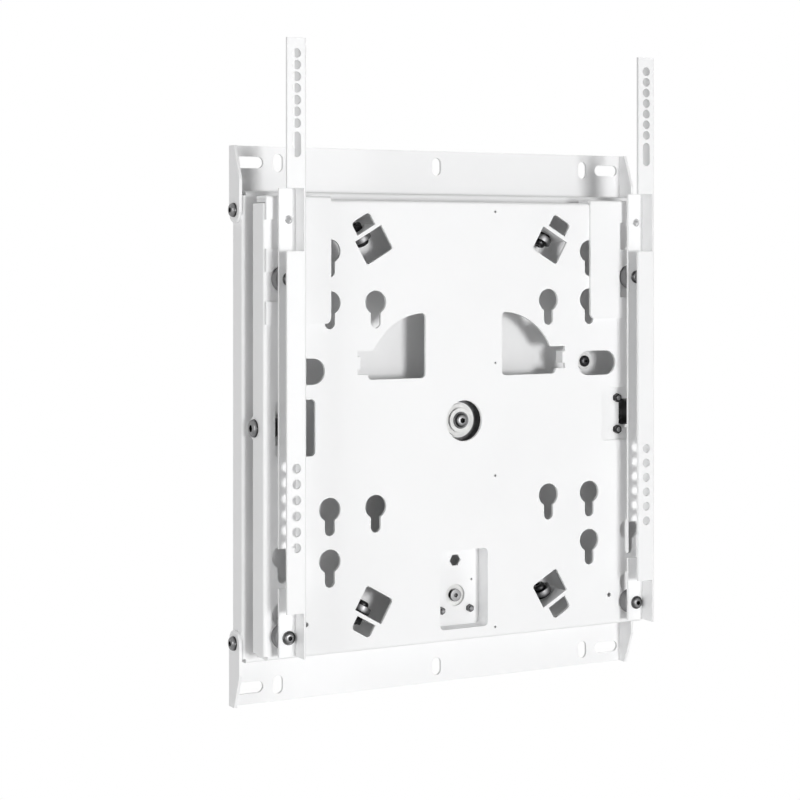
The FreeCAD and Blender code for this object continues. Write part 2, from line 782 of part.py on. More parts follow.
def hub_parts():
    """Axle fixed to the carrier, the rotor's cup and bush round it, and what keeps them on."""
    axle = new_body("hub_axle", y="-carrier_front", turn=FRONT)
    shoulder = f"({BUSH_BACK} - running_gap - carrier_front)"
    end = f"({JOURNAL_END} - carrier_front)"
    bore = "bolt_hole / 2"
    spin(axle, [("0", "-carrier_sheet"), ("axle_tail / 2", "-carrier_sheet"), ("axle_tail / 2", "0"),
                ("axle_foot / 2", "0"), ("axle_foot / 2", "axle_foot_thick"),
                ("axle_neck / 2", "axle_foot_thick"), ("axle_neck / 2", shoulder),
                ("journal / 2", shoulder), ("journal / 2", end), (bore, end),
                (bore, f"{end} - 2.2 * bolt"), ("0", f"{end} - 2.2 * bolt")])
    cup = new_body("hub_cup", y=f"-{ROTOR_BACK}", turn=BACK)
    wall = "(cup_inner / 2)"
    bore = "bush_outer / 2"
    spin(cup, [(f"{wall} - cup_sheet", "0"), ("cup_outer / 2", "0"), ("cup_outer / 2", "cup_sheet"),
               (wall, "cup_sheet"), (wall, "cup_depth"), (bore, "cup_depth"),
               (bore, "cup_depth - cup_sheet"), (f"{wall} - cup_sheet", "cup_depth - cup_sheet")])
    bush = new_body("hub_bush", y=f"-{CUP_FLOOR}", turn=FRONT)
    inner = "(journal / 2 + fit_gap)"
    spin(bush, [(inner, "-cup_sheet"), ("bush_outer / 2", "-cup_sheet"), ("bush_outer / 2", "0"),
                ("bush_flange / 2", "0"), ("bush_flange / 2", "bush_flange_thick"),
                (inner, "bush_flange_thick")])
    washer = ring("hub_washer", "hub_washer_outer", "bolt_hole", "hub_washer_thick",
                  y=f"-{JOURNAL_END}", turn=FRONT)
    screw = button_bolt("hub_screw", "bolt", "hub_screw_head", "bolt_head_high",
                        "hub_washer_thick + 1.9 * bolt", "bolt_socket")
    place(screw, y=f"-({JOURNAL_END} + hub_washer_thick)", turn=FRONT)
    return [axle, cup, bush, washer, screw]


def ear_places(x_right):
    """The four ear screws' places: one on each side, above and below."""
    return [dict(x=f"{side}{x_right}", y="-ear_depth / 2", z=f"{up}ear_screw_rise", turn=turn)
            for side, turn in (("", RIGHT), ("-", LEFT)) for up in ("", "-")]


def ear_fasteners():
    screw = button_bolt("ear_screw", "bolt", "bolt_head", "bolt_head_high",
                        "wall_sheet + carrier_sheet + nut_high + 2", "bolt_socket")
    nut = hex_nut("ear_nut", "nut_across", "bolt_hole", "nut_high")
    face = "(strip_width / 2 - wall_sheet - carrier_sheet - nut_high)"
    return [copies("ear_screws", screw, ear_places("strip_width / 2")),
            copies("ear_nuts", nut, ear_places(face))]


def guide_fasteners():
    """The two carrier screws that the access slots reach, each on a round spacer."""
    spacer = ring("guide_spacer_one", "guide_spacer", "guide_hole", "guide_spacer_high")
    screw = button_bolt("guide_screw", "guide_bolt", "guide_head", "guide_head_high",
                        "guide_spacer_high + carrier_sheet + small_nut_high + 2", "small_socket")
    nut = hex_nut("guide_nut", "guide_nut_across", "guide_hole", "small_nut_high")

    def places(front, turn):
        return [dict(x=f"{side}guide_across", y=f"-({front})", z="guide_rise", turn=turn)
                for side in ("", "-")]

    return [copies("guide_spacers", spacer, places("carrier_front", FRONT)),
            copies("guide_screws", screw, places("carrier_front + guide_spacer_high", FRONT)),
            copies("guide_nuts", nut, places("carrier_front - carrier_sheet", BACK))]


def hanger(label, side):
    """Toothed plate on the rotor's face, hooked over its top flange."""
    body = new_body(label, y=f"-{ROTOR_FACE}")
    inner, outer, deep = f"{side}hanger_inner", f"{side}hanger_outer", f"{side}hanger_notch"
    step = "hanger_tooth + hanger_gap"
    heights = ["hanger_low", "hanger_low + hanger_tooth", f"hanger_low + {step}",
               f"hanger_low + {step} + hanger_tooth", f"hanger_low + 2 * ({step})"]
    top = "rotor_side / 2 + hanger_sheet"
    face = new_sketch(body, offset="hanger_sheet")
    edge = [(inner, heights[0]), (outer, heights[0]), (outer, heights[1]), (deep, heights[1]),
            (deep, heights[2]), (outer, heights[2]), (outer, heights[3]), (deep, heights[3]),
            (deep, heights[4]), (outer, heights[4]), (outer, top), (inner, top)]
    draw_polygon(face, edge)
    grow(body, face, "hanger_sheet")
    hook = new_sketch(body)
    draw_box(hook, inner, "rotor_side / 2", outer, top)
    grow(body, hook, "hanger_hook")
    high = value(top)
    soften(body, "hanger_sheet * 0.8", lambda p, q: near(p.z, high) and near(q.z, high)
           and near(p.y, -value("hanger_sheet")) and near(q.y, p.y))
    soften(body, "hanger_corner", runs_deep("hanger_inner", "hanger_low"))
    room = new_sketch(body, offset="hanger_sheet")
    draw_circle(room, f"{side}rail_column", "rail_screw_top", "spacer_outer + 2 * hanger_room")
    cut(body, room)
    return body


def rail_flanges(body):
    """Channel section, with lengths of its two flanges cut away."""
    section = new_sketch(body, "XY_Plane", "-rail_low")
    free, inner = "rail_web - rail_wide", "rail_web - rail_sheet"
    draw_polygon(section, [("rail_web", "0"), (free, "0"), (free, "-rail_sheet"),
                           (inner, "-rail_sheet"), (inner, "rail_sheet - rail_depth"),
                           (free, "rail_sheet - rail_depth"), (free, "-rail_depth"),
                           ("rail_web", "-rail_depth")])
    grow(body, section, "rail_low + rail_top", backward=False)
    web = value("rail_web")
    soften(body, "rail_sheet * 0.8", lambda p, q: near(p.x, web) and near(q.x, web)
           and abs(p.z - q.z) > 1)
    front = new_sketch(body, offset="rail_depth")
    draw_box(front, f"{free} - 1", "front_gap_start", inner, "front_gap_top")
    draw_box(front, f"{free} - 1", "-rail_low - 1", inner, "-front_gap_low")
    cut(body, front, "rail_sheet")
    back = new_sketch(body)
    draw_box(back, f"{free} - 1", "back_flange_top", inner, "rail_top + 1")
    draw_box(back, f"{free} - 1", "-back_notch_low", inner, "-back_notch_top")
    cut(body, back, "rail_sheet", backward=False)


def rail(label, side):
    """Upright channel that the television bolts to. Both are the same way round."""
    body = new_body(label, x=f"{side}rail_column", y=f"-{RAIL_BACK}")
    rail_flanges(body)
    holes = new_sketch(body, offset="rail_depth")
    for step in range(7):
        draw_circle(holes, "0", f"tv_top + {step} * upper_pitch", "tv_hole")
    for step in range(6):
        draw_circle(holes, "0", f"tv_top - tv_pitch + {step} * lower_pitch", "tv_hole")
    cut(body, holes, "rail_sheet")
    slot = new_sketch(body, offset="rail_depth")
    draw_slot(slot, "0", "(tv_slot_low + tv_slot_high) / 2", "tv_slot_high - tv_slot_low",
              "tv_hole", True)
    cut(body, slot, "rail_sheet")
    back = new_sketch(body, offset="rail_sheet")
    draw_circle(back, "0", "rail_screw_top", "bolt_hole")
    draw_circle(back, "0", "-rail_screw_low", "bolt_hole")
    draw_circle(back, "0", "rail_sight_rise", "rail_sight")
    cut(body, back, "rail_sheet")
    return body


def flange_nut(name):
    """Nut with a round flange, wide enough to bear on both sides of a keyhole's slot."""
    body = ring(name, "nut_flange", "bolt_hole", "nut_flange_high")
    outline = new_sketch(body, "XY_Plane")
    draw_hexagon(outline, "0", "0", "nut_across")
    draw_circle(outline, "0", "0", "bolt_hole")
    grow(body, outline, "nut_high + nut_flange_high", backward=False)
    return body


def rail_fasteners():
    """Screws through the rails and round spacers into nuts behind the rotor's face."""
    stack = "rail_sheet + spacer_long + rotor_sheet + nut_high + nut_flange_high + 2"
    screw = button_bolt("rail_screw", "bolt", "rail_head", "bolt_head_high", stack, "bolt_socket")
    spacer = ring("rail_spacer", "spacer_outer", "bolt_hole", "spacer_long")
    nut = flange_nut("rail_nut")

    def places(front, turn):
        return [dict(x=f"{side}rail_column", y=f"-({front})", z=z, turn=turn)
                for side in ("", "-") for z in ("rail_screw_top", "-rail_screw_low")]

    return [copies("rail_screws", screw, places(f"{RAIL_BACK} + rail_sheet", FRONT)),
            copies("rail_spacers", spacer, places(ROTOR_FACE, FRONT)),
            copies("rail_nuts", nut, places(ROTOR_BACK, BACK))]


def spokes(radius, outward):
    """Places on the lugs' radial lines, each with its local Z axis along the line."""
    lean = value("lug_angle")
    angles = (lean, 180 - lean, 180 + lean, 360 - lean)
    places = []
    for (sx, sz), angle in zip(QUARTERS, angles):
        turn = (V(0, 1, 0), 90 - angle if outward else 270 - angle)
        x, z = spoke_point(radius, "0", sx, sz)
        places.append(dict(x=x, y=f"-{ROLLER_LINE}", z=z, turn=turn))
    return places


def lug_fasteners():
    """What carries a steel roller on each lug: bolt, inner race, washer and nut."""
    stack = "roller_wide + roller_washer + rotor_sheet + nut_high + 1.5"
    bolt = button_bolt("lug_bolt", "bolt", "bolt_head", "bolt_head_high", stack, "bolt_socket")
    race = ring("roller_race_one", "roller_race", "bolt_hole", "roller_wide")
    washer = ring("lug_washer", "roller_washer_outer", "bolt_hole", "roller_washer")
    nut = hex_nut("lug_nut", "nut_across", "bolt_hole", "nut_high")
    return [copies("lug_bolts", bolt, spokes(BOLT_SEAT, False)),
            copies("roller_races", race, spokes(BOLT_SEAT, True)),
            copies("lug_washers", washer, spokes(f"{BOLT_SEAT} + roller_wide", True)),
            copies("lug_nuts", nut, spokes("lug_radius + rotor_sheet", True))]


def steel_rollers():
    """One outer ring on each race, a little narrower than the race."""
    names = ("roller_upper_right", "roller_upper_left", "roller_lower_left", "roller_lower_right")
    rings = []
    for name, where in zip(names, spokes(f"{BOLT_SEAT} + running_gap", True)):
        body = new_body(name, **where)
        inner, wide = "(roller_race / 2 + fit_gap)", "(roller_wide - 2 * running_gap)"
        spin(body, [(inner, "0"), ("roller_outer / 2", "0"), ("roller_outer / 2", wide),
                    (inner, wide)])
        rings.append(body)
    return rings


def side_bracket(label, side):
    """Plate behind the rotor's side window, notched for the wheel."""
    body = new_body(label, y=f"-{ROTOR_BACK}")
    plate = new_sketch(body)
    half, notch = "bracket_high / 2", "bracket_notch_high / 2"
    start, end, deep = (f"{side}bracket_{word}" for word in ("start", "end", "notch_start"))
    draw_polygon(plate, [(start, f"-{half}"), (end, f"-{half}"), (end, f"-{notch}"),
                         (deep, f"-{notch}"), (deep, notch), (end, notch), (end, half),
                         (start, half)])
    grow(body, plate, "bracket_sheet")
    drill_bracket(body, side, "bracket_sheet")
    return body


def drill_bracket(body, side, depth):
    holes = new_sketch(body)
    for up in ("", "-"):
        draw_circle(holes, f"{side}bracket_screw_across", f"{up}bracket_screw_rise", "small_hole")
    cut(body, holes, depth)


def axle_arm(label, side):
    """Folded angle behind the bracket. Its leg carries the wheel bolt's inner end."""
    body = new_body(label, y=f"-({ROTOR_BACK} - bracket_sheet)")
    face, foot, notch = f"{side}arm_face", f"{side}arm_foot_end", "arm_notch_high / 2"
    inner = f"{side}(arm_face - arm_sheet)"
    plate = new_sketch(body)
    draw_polygon(plate, [(inner, "-arm_foot_half"), (foot, "-arm_foot_half"), (foot, f"-{notch}"),
                         (face, f"-{notch}"), (face, notch), (foot, notch),
                         (foot, "arm_foot_half"), (inner, "arm_foot_half")])
    grow(body, plate, "arm_sheet")
    axis = f"({ROTOR_BACK} - bracket_sheet - {AXLE_LINE})"
    leg = new_sketch(body, "YZ_Plane", face)
    draw_polygon(leg, [("0", "-arm_foot_half"), ("arm_sheet", "-arm_foot_half"),
                       (axis, "-arm_round"), (axis, "arm_round"),
                       ("arm_sheet", "arm_foot_half"), ("0", "arm_foot_half")])
    grow(body, leg, "arm_sheet", backward=not side)
    end = new_sketch(body, "YZ_Plane", face)
    draw_circle(end, axis, "0", "2 * arm_round")
    grow(body, end, "arm_sheet", backward=not side)
    hole = new_sketch(body, "YZ_Plane", face)
    draw_circle(hole, axis, "0", "bolt_hole")
    cut(body, hole, "arm_sheet", backward=not side)
    drill_bracket(body, side, "arm_sheet")
    return body


def axle_bolt():
    """Shoulder bolt: a plain shaft from the rotor's flange to the arm, then a thread."""
    body = new_body("axle_bolt")
    shaft, end = "(rotor_side / 2 - arm_face)", "(rotor_side / 2 - arm_face + arm_sheet + nut_high + 2)"
    spin(body, [("0", f"-{end}"), ("bolt / 2", f"-{end}"), ("bolt / 2", f"-{shaft}"),
                ("axle_shaft / 2", f"-{shaft}"), ("axle_shaft / 2", "0"), ("axle_head / 2", "0"),
                ("axle_head / 2", "axle_head_high * head_rim"),
                ("axle_socket * crown", "axle_head_high"), ("0", "axle_head_high")])
    key = new_sketch(body, "XY_Plane", "axle_head_high")
    draw_hexagon(key, "0", "0", "axle_socket")
    cut(body, key, "axle_head_high * socket_deep")
    return body


def side_places(x_right, flip=False):
    turns = (LEFT, RIGHT) if flip else (RIGHT, LEFT)
    return [dict(x=f"{side}{x_right}", y=f"-{AXLE_LINE}", turn=turn)
            for side, turn in zip(("", "-"), turns)]


def wheel_parts():
    """The two side wheels' bolts, spacers, washers and nuts."""
    bore = "(axle_shaft + 2 * fit_gap)"
    spacer = ring("wheel_spacer", "wheel_washer", bore, "(wheel_start - running_gap - arm_face)")
    thick = "(rotor_side / 2 - rotor_sheet - wheel_end - running_gap)"
    washer = ring("wheel_washer_one", "wheel_washer", bore, thick)
    nut = hex_nut("axle_nut", "nut_across", "bolt_hole", "nut_high")
    return [copies("axle_bolts", axle_bolt(), side_places("rotor_side / 2")),
            copies("wheel_spacers", spacer, side_places("arm_face")),
            copies("wheel_washers", washer, side_places("(wheel_end + running_gap)")),
            copies("axle_nuts", nut, side_places("(arm_face - arm_sheet)", flip=True))]


def side_wheel(label, where):
    """Black roller with a sloped inner face."""
    body = new_body(label, **where)
    bore, outer, long = "(axle_shaft / 2 + fit_gap)", "(wheel_outer / 2)", "(wheel_end - wheel_start)"
    spin(body, [(bore, "0"), (f"{outer} - wheel_slope", "0"), (outer, "wheel_slope"),
                (outer, f"{long} - wheel_round"), (f"{outer} - wheel_round", long), (bore, long)])
    return body


def bracket_fasteners():
    """Screws and nuts that hold the arms to the side brackets."""
    screw = button_bolt("bracket_screw", "small_bolt", "small_head", "small_head_high",
                        "arm_sheet + bracket_sheet + small_nut_high + 1.5", "small_socket")
    nut = hex_nut("bracket_nut", "small_across", "small_hole", "small_nut_high")

    def places(front, turn):
        return [dict(x=f"{side}bracket_screw_across", y=f"-({front})",
                     z=f"{up}bracket_screw_rise", turn=turn)
                for side in ("", "-") for up in ("", "-")]

    back = f"{ROTOR_BACK} - bracket_sheet - arm_sheet"
    return [copies("bracket_screws", screw, places(back, BACK)),
            copies("bracket_nuts", nut, places(ROTOR_BACK, FRONT))]


def lock_box():
    """Pressed tray behind the lower window: its floor carries the lock."""
    body = new_body("lock_box", y=f"-{ROTOR_BACK}")
    half = "(box_window_wide / 2)"
    outside = new_sketch(body)
    draw_box(outside, f"-({half} + box_sheet)", "-(box_window_low + box_sheet)",
             f"{half} + box_sheet", "-(box_window_top - box_sheet)")
    grow(body, outside, "box_depth")
    soften(body, "window_corner + box_sheet", lambda p, q: near(p.x, q.x) and near(p.z, q.z))
    inside = new_sketch(body)
    draw_box(inside, f"-{half}", "-box_window_low", half, "-box_window_top")
    cut(body, inside, "box_depth - box_sheet")
    soften(body, "window_corner", runs_deep_any("box_window_wide / 2"))
    holes = new_sketch(body)
    draw_hexagon(holes, "0", "-box_hex_drop", "box_hex")
    draw_circle(holes, "0", "-lock_drop", "lock_port")
    draw_circle(holes, "lock_small_across", "-lock_small_drop", "lock_small_hole")
    draw_lock_screws(holes)
    cut(body, holes)
    return body


def runs_deep_any(x):
    """Test for an edge along Y at the given distance across, at any height."""
    wide = value(x)
    return lambda p, q: near(abs(p.x), wide) and near(p.x, q.x) and near(p.z, q.z)


def draw_lock_screws(sketch):
    for side in ("", "-"):
        draw_circle(sketch, f"{side}lock_screw_across", "-lock_screw_drop", "small_hole")


def lock_block():
    """Guide block behind the box floor, with a sunk bore for the lock pin."""
    body = new_body("lock_block", y=f"-{BOX_FLOOR}")
    outline = new_sketch(body)
    draw_box(outline, "-lock_block_wide / 2", "-lock_screw_drop - small_head",
             "lock_block_wide / 2", "-lock_drop + lock_block_wide / 3")
    grow(body, outline, "lock_block_deep")
    soften(body, "lock_block_round", lambda p, q: near(p.x, q.x) and near(p.z, q.z))
    bores = new_sketch(body)
    draw_circle(bores, "0", "-lock_drop", "lock_pin + 2 * fit_gap")
    draw_lock_screws(bores)
    cut(body, bores)
    sink = new_sketch(body)
    draw_circle(sink, "0", "-lock_drop", "lock_sink")
    cut(body, sink, "lock_block_deep / 2")
    return body


def lock_parts():
    """The lock pin, drawn back clear of the carrier, and the screws that hold its block."""
    seat = f"({BOX_FLOOR} + lock_lift)"
    reach = f"({seat} - carrier_front - lock_lift)"
    pin = button_bolt("lock_pin_one", "lock_pin", "lock_head", "lock_head_high", reach, "bolt_socket")
    pin.Label = "lock_pin"
    place(pin, y=f"-{seat}", z="-lock_drop", turn=FRONT)
    screw = button_bolt("lock_screw", "small_bolt", "small_head", "small_head_high",
                        "lock_block_deep + box_sheet + small_nut_high + 1.5", "small_socket")
    nut = hex_nut("lock_nut", "small_across", "small_hole", "small_nut_high")

    def places(front, turn):
        return [dict(x=f"{side}lock_screw_across", y=f"-({front})", z="-lock_screw_drop", turn=turn)
                for side in ("", "-")]

    return [pin, copies("lock_screws", screw, places(f"{BOX_FLOOR} - lock_block_deep", BACK)),
            copies("lock_nuts", nut, places(f"{BOX_FLOOR} + box_sheet", FRONT))]


def build_all():
    """Every node of the mount."""
    nodes = [wall_strip("wall_strip_top", (V(0, 1, 0), 0)),
             wall_strip("wall_strip_bottom", (V(0, 1, 0), 180)),
             carrier_pan(), rotor_pan()]
    nodes += hub_parts() + ear_fasteners() + guide_fasteners()
    for side, word in (("", "right"), ("-", "left")):
        nodes += [hanger(f"hanger_{word}", side), rail(f"rail_{word}", side),
                  side_bracket(f"side_bracket_{word}", side), axle_arm(f"axle_arm_{word}", side)]
    nodes += rail_fasteners() + lug_fasteners() + steel_rollers() + wheel_parts()
    for word, where in zip(("right", "left"), side_places("wheel_start")):
        nodes.append(side_wheel(f"side_wheel_{word}", where))
    nodes += bracket_fasteners() + [lock_box(), lock_block()] + lock_parts()
    doc.recompute()
    return nodes


def check_document():
    """Stops when any object of the document failed."""
    for item in doc.Objects:
        if "Invalid" in item.State or "Error" in item.State:
            raise RuntimeError(f"{item.Name}: {item.State}")


def export(nodes):
    """Writes each node's shape under its own label."""
    os.makedirs("parts", exist_ok=True)
    for node in nodes:
        shape = node.Shape
        if shape.isNull() or not shape.isValid() or not shape.Solids:
            raise RuntimeError(f"{node.Label} has no sound shape")
        shape.exportStep(f"parts/{node.Label}.step")
        print(f"{node.Label:22s} {len(shape.Solids)} solids {shape.Volume / 1000:9.2f} cm3")


if __name__ == "__main__":
    all_nodes = build_all()
    check_document()
    export(all_nodes)
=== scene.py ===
"""Looks of a rotating television wall mount in white powder-coated steel.

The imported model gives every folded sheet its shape. This file coats those sheets, models the
screws, nuts, rollers, wheels and spacers afresh, and sets the floor, the lamps and the camera.
Sizes are written in millimetres and turned to metres by the MM factor.
"""
from __future__ import annotations

import logging
import math
from abc import ABC, abstractmethod
from dataclasses import dataclass, field, replace
from enum import Enum
from typing import ClassVar, Iterable, Mapping, Sequence

import bmesh
import bpy
from mathutils import Matrix, Vector

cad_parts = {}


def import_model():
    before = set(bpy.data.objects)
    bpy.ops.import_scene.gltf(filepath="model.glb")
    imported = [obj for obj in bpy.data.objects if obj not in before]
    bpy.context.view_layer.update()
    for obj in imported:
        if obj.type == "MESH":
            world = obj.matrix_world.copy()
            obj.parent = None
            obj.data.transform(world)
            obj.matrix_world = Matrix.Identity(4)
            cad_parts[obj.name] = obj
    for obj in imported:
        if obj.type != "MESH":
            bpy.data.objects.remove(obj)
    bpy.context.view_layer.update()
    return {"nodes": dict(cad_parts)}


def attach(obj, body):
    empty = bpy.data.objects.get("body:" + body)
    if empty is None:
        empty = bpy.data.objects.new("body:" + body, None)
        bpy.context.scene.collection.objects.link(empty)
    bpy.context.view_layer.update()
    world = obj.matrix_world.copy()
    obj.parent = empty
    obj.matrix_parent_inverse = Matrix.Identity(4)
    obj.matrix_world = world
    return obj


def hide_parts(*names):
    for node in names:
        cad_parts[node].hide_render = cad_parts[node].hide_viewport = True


LOG = logging.getLogger("wall_mount")
MM = 0.001
Point = tuple[float, float]
Spot = tuple[float, float, float]


class Facing(Enum):
    """The way that a fastener's head or a turned piece's far end points."""

    FRONT = (0.0, -1.0, 0.0)
    BACK = (0.0, 1.0, 0.0)
    RIGHT = (1.0, 0.0, 0.0)
    LEFT = (-1.0, 0.0, 0.0)


class Slot(Enum):
    """The record's material slots."""

    WHITE = "white_powder"
    DARK = "dark_steel"
    SPACER = "grey_spacer"
    BLACK = "black_polymer"
    BRIGHT = "bearing_steel"
    NYLON = "white_polymer"


@dataclass(frozen=True)
class Seat:
    """Where a turned piece sits, and the way that its own Z axis points."""

    spot: Spot
    along: Spot

    def matrix(self) -> Matrix:
        """The turn and move from the piece's own axes to the mount's, in metres."""
        turn = Vector((0.0, 0.0, 1.0)).rotation_difference(Vector(self.along))
        return Matrix.Translation(Vector(self.spot) * MM) @ turn.to_matrix().to_4x4()


# ---- finishes


@dataclass(frozen=True)
class Finish(ABC):
    """A surface's colour and gloss, with a fine relief on Object coordinates.

    Args:
        name: the material's name
        colour: linear base colour
        roughness: the middle of the roughness
        metallic: 1 for bare metal, 0 for paint and plastic
        grain: relief cells per metre
        relief: height of the relief in millimetres
    """

    name: str
    colour: Spot
    roughness: float
    metallic: float = 0.0
    grain: float = 900.0
    relief: float = 0.01

    def material(self) -> bpy.types.Material:
        """Builds the material once and returns it after that.

        Returns:
            the finished material
        """
        found = bpy.data.materials.get(self.name)
        if found:
            return found
        made = bpy.data.materials.new(self.name)
        made.use_nodes = True
        tree = made.node_tree
        tree.nodes.clear()
        shader = tree.nodes.new("ShaderNodeBsdfPrincipled")
        out = tree.nodes.new("ShaderNodeOutputMaterial")
        tree.links.new(shader.outputs["BSDF"], out.inputs["Surface"])
        shader.inputs["Metallic"].default_value = self.metallic
        self.dress(tree, shader)
        return made

    @abstractmethod
    def dress(self, tree: bpy.types.NodeTree, shader: bpy.types.Node) -> None:
        """Adds the finish's own nodes in front of the shader."""

    def noise(self, tree: bpy.types.NodeTree, scale: float, detail: float,
              stretch: Spot = (1.0, 1.0, 1.0)) -> bpy.types.NodeSocket:
        """A noise pattern fixed to the piece.

        Args:
            tree: the material's nodes
            scale: cells per metre
            detail: octaves
            stretch: scale on each axis, for brushed or turned marks

        Returns:
            the pattern's height socket
        """
        coordinates = tree.nodes.new("ShaderNodeTexCoord")
        mapping = tree.nodes.new("ShaderNodeMapping")
        mapping.inputs["Scale"].default_value = stretch
        pattern = tree.nodes.new("ShaderNodeTexNoise")
        pattern.inputs["Scale"].default_value = scale
        pattern.inputs["Detail"].default_value = detail
        tree.links.new(coordinates.outputs["Object"], mapping.inputs["Vector"])
        tree.links.new(mapping.outputs["Vector"], pattern.inputs["Vector"])
        return pattern.outputs["Fac"]

    def spread(self, tree: bpy.types.NodeTree, source: bpy.types.NodeSocket,
               low: float, high: float) -> bpy.types.NodeSocket:
        """Maps a pattern's middle half onto a range of values.

        Args:
            tree: the material's nodes
            source: the pattern
            low: the least value
            high: the greatest value

        Returns:
            the mapped value's socket
        """
        reach = tree.nodes.new("ShaderNodeMapRange")
        for name, number in (("From Min", 0.3), ("From Max", 0.7), ("To Min", low), ("To Max", high)):
            reach.inputs[name].default_value = number
        tree.links.new(source, reach.inputs["Value"])
        return reach.outputs["Result"]

    def emboss(self, tree: bpy.types.NodeTree, source: bpy.types.NodeSocket,
               height: float, normal: bpy.types.NodeSocket | None = None) -> bpy.types.NodeSocket:
        """Turns a pattern into relief.

        Args:
            tree: the material's nodes
            source: the pattern
            height: its height in millimetres
            normal: relief under this one, if any

        Returns:
            the bent normal's socket
        """
        bump = tree.nodes.new("ShaderNodeBump")
        bump.inputs["Strength"].default_value = 1.0
        bump.inputs["Distance"].default_value = height * MM
        tree.links.new(source, bump.inputs["Height"])
        if normal is not None:
            tree.links.new(normal, bump.inputs["Normal"])
        return bump.outputs["Normal"]

    def tint(self, tree: bpy.types.NodeTree, source: bpy.types.NodeSocket,
             darker: float, lighter: float) -> bpy.types.NodeSocket:
        """Varies the base colour with a pattern.

        Args:
            tree: the material's nodes
            source: the pattern
            darker: factor on the colour where the pattern is low
            lighter: factor where it is high

        Returns:
            the colour's socket
        """
        ramp = tree.nodes.new("ShaderNodeValToRGB")
        for stop, factor in zip(ramp.color_ramp.elements, (darker, lighter)):
            stop.color = (*(min(channel * factor, 1.0) for channel in self.colour), 1.0)
        ramp.color_ramp.elements[0].position = 0.3
        ramp.color_ramp.elements[1].position = 0.7
        tree.links.new(source, ramp.inputs["Fac"])
        return ramp.outputs["Color"]


@dataclass(frozen=True)
class PowderCoat(Finish):
    """Baked powder: orange-peel relief, a broad faint cloud in tone and gloss, and softened edges."""

    edge: float = 0.35

    def dress(self, tree: bpy.types.NodeTree, shader: bpy.types.Node) -> None:
        """Adds the peel, the faint cloud in tone and the cloudy gloss."""
        cloud = self.noise(tree, 14.0, 2.0)
        tree.links.new(self.tint(tree, cloud, 0.992, 1.006), shader.inputs["Base Color"])
        tree.links.new(self.spread(tree, cloud, self.roughness - 0.03, self.roughness + 0.04),
                       shader.inputs["Roughness"])
        soft = tree.nodes.new("ShaderNodeBevel")
        soft.samples = 4
        soft.inputs["Radius"].default_value = self.edge * MM
        peel = self.emboss(tree, self.noise(tree, self.grain, 2.0), self.relief,
                           soft.outputs["Normal"])
        tree.links.new(peel, shader.inputs["Normal"])


@dataclass(frozen=True)
class CupShadeCoat(PowderCoat):
    """Powder coat on a turned piece, with painted shade in dark grey outside a radius about the
    turning axis.
    """

    # radius in millimetres where the painted shade starts
    shade_from: float = 17.4
    # colour of the painted shade that darkens the cup's floor and wall
    bare: Spot = (0.1, 0.1, 0.102)

    def dress(self, tree: bpy.types.NodeTree, shader: bpy.types.Node) -> None:
        """Adds the coat, then paints shade in dark grey over it outside the radius."""
        super().dress(tree, shader)
        coat = shader.inputs["Base Color"].links[0].from_socket
        coordinates = tree.nodes.new("ShaderNodeTexCoord")
        flat = tree.nodes.new("ShaderNodeVectorMath")
        flat.operation = "MULTIPLY"
        flat.inputs[1].default_value = (1.0, 0.0, 1.0)
        radius = tree.nodes.new("ShaderNodeVectorMath")
        radius.operation = "LENGTH"
        edge = tree.nodes.new("ShaderNodeMapRange")
        edge.inputs["From Min"].default_value = self.shade_from * MM
        edge.inputs["From Max"].default_value = (self.shade_from + 0.6) * MM
        # the painted shade's colour, blotched
        steel = self.shade_tint(tree, self.bare)
        blend = tree.nodes.new("ShaderNodeMix")
        blend.data_type = "RGBA"
        tree.links.new(coordinates.outputs["Object"], flat.inputs[0])
        tree.links.new(flat.outputs["Vector"], radius.inputs[0])
        tree.links.new(radius.outputs["Value"], edge.inputs["Value"])
        tree.links.new(edge.outputs["Result"], blend.inputs["Factor"])
        tree.links.new(coat, blend.inputs["A"])
        tree.links.new(steel, blend.inputs["B"])
        tree.links.new(blend.outputs["Result"], shader.inputs["Base Color"])

    def shade_tint(self, tree: bpy.types.NodeTree, colour: Spot) -> bpy.types.NodeSocket:
        """A blotched colour for the painted shade.

        Args:
            tree: the material's nodes
            colour: the middle colour

        Returns:
            the colour's socket
        """
        return replace(self, colour=colour).tint(tree, self.noise(tree, 300.0, 3.0), 0.7, 1.3)


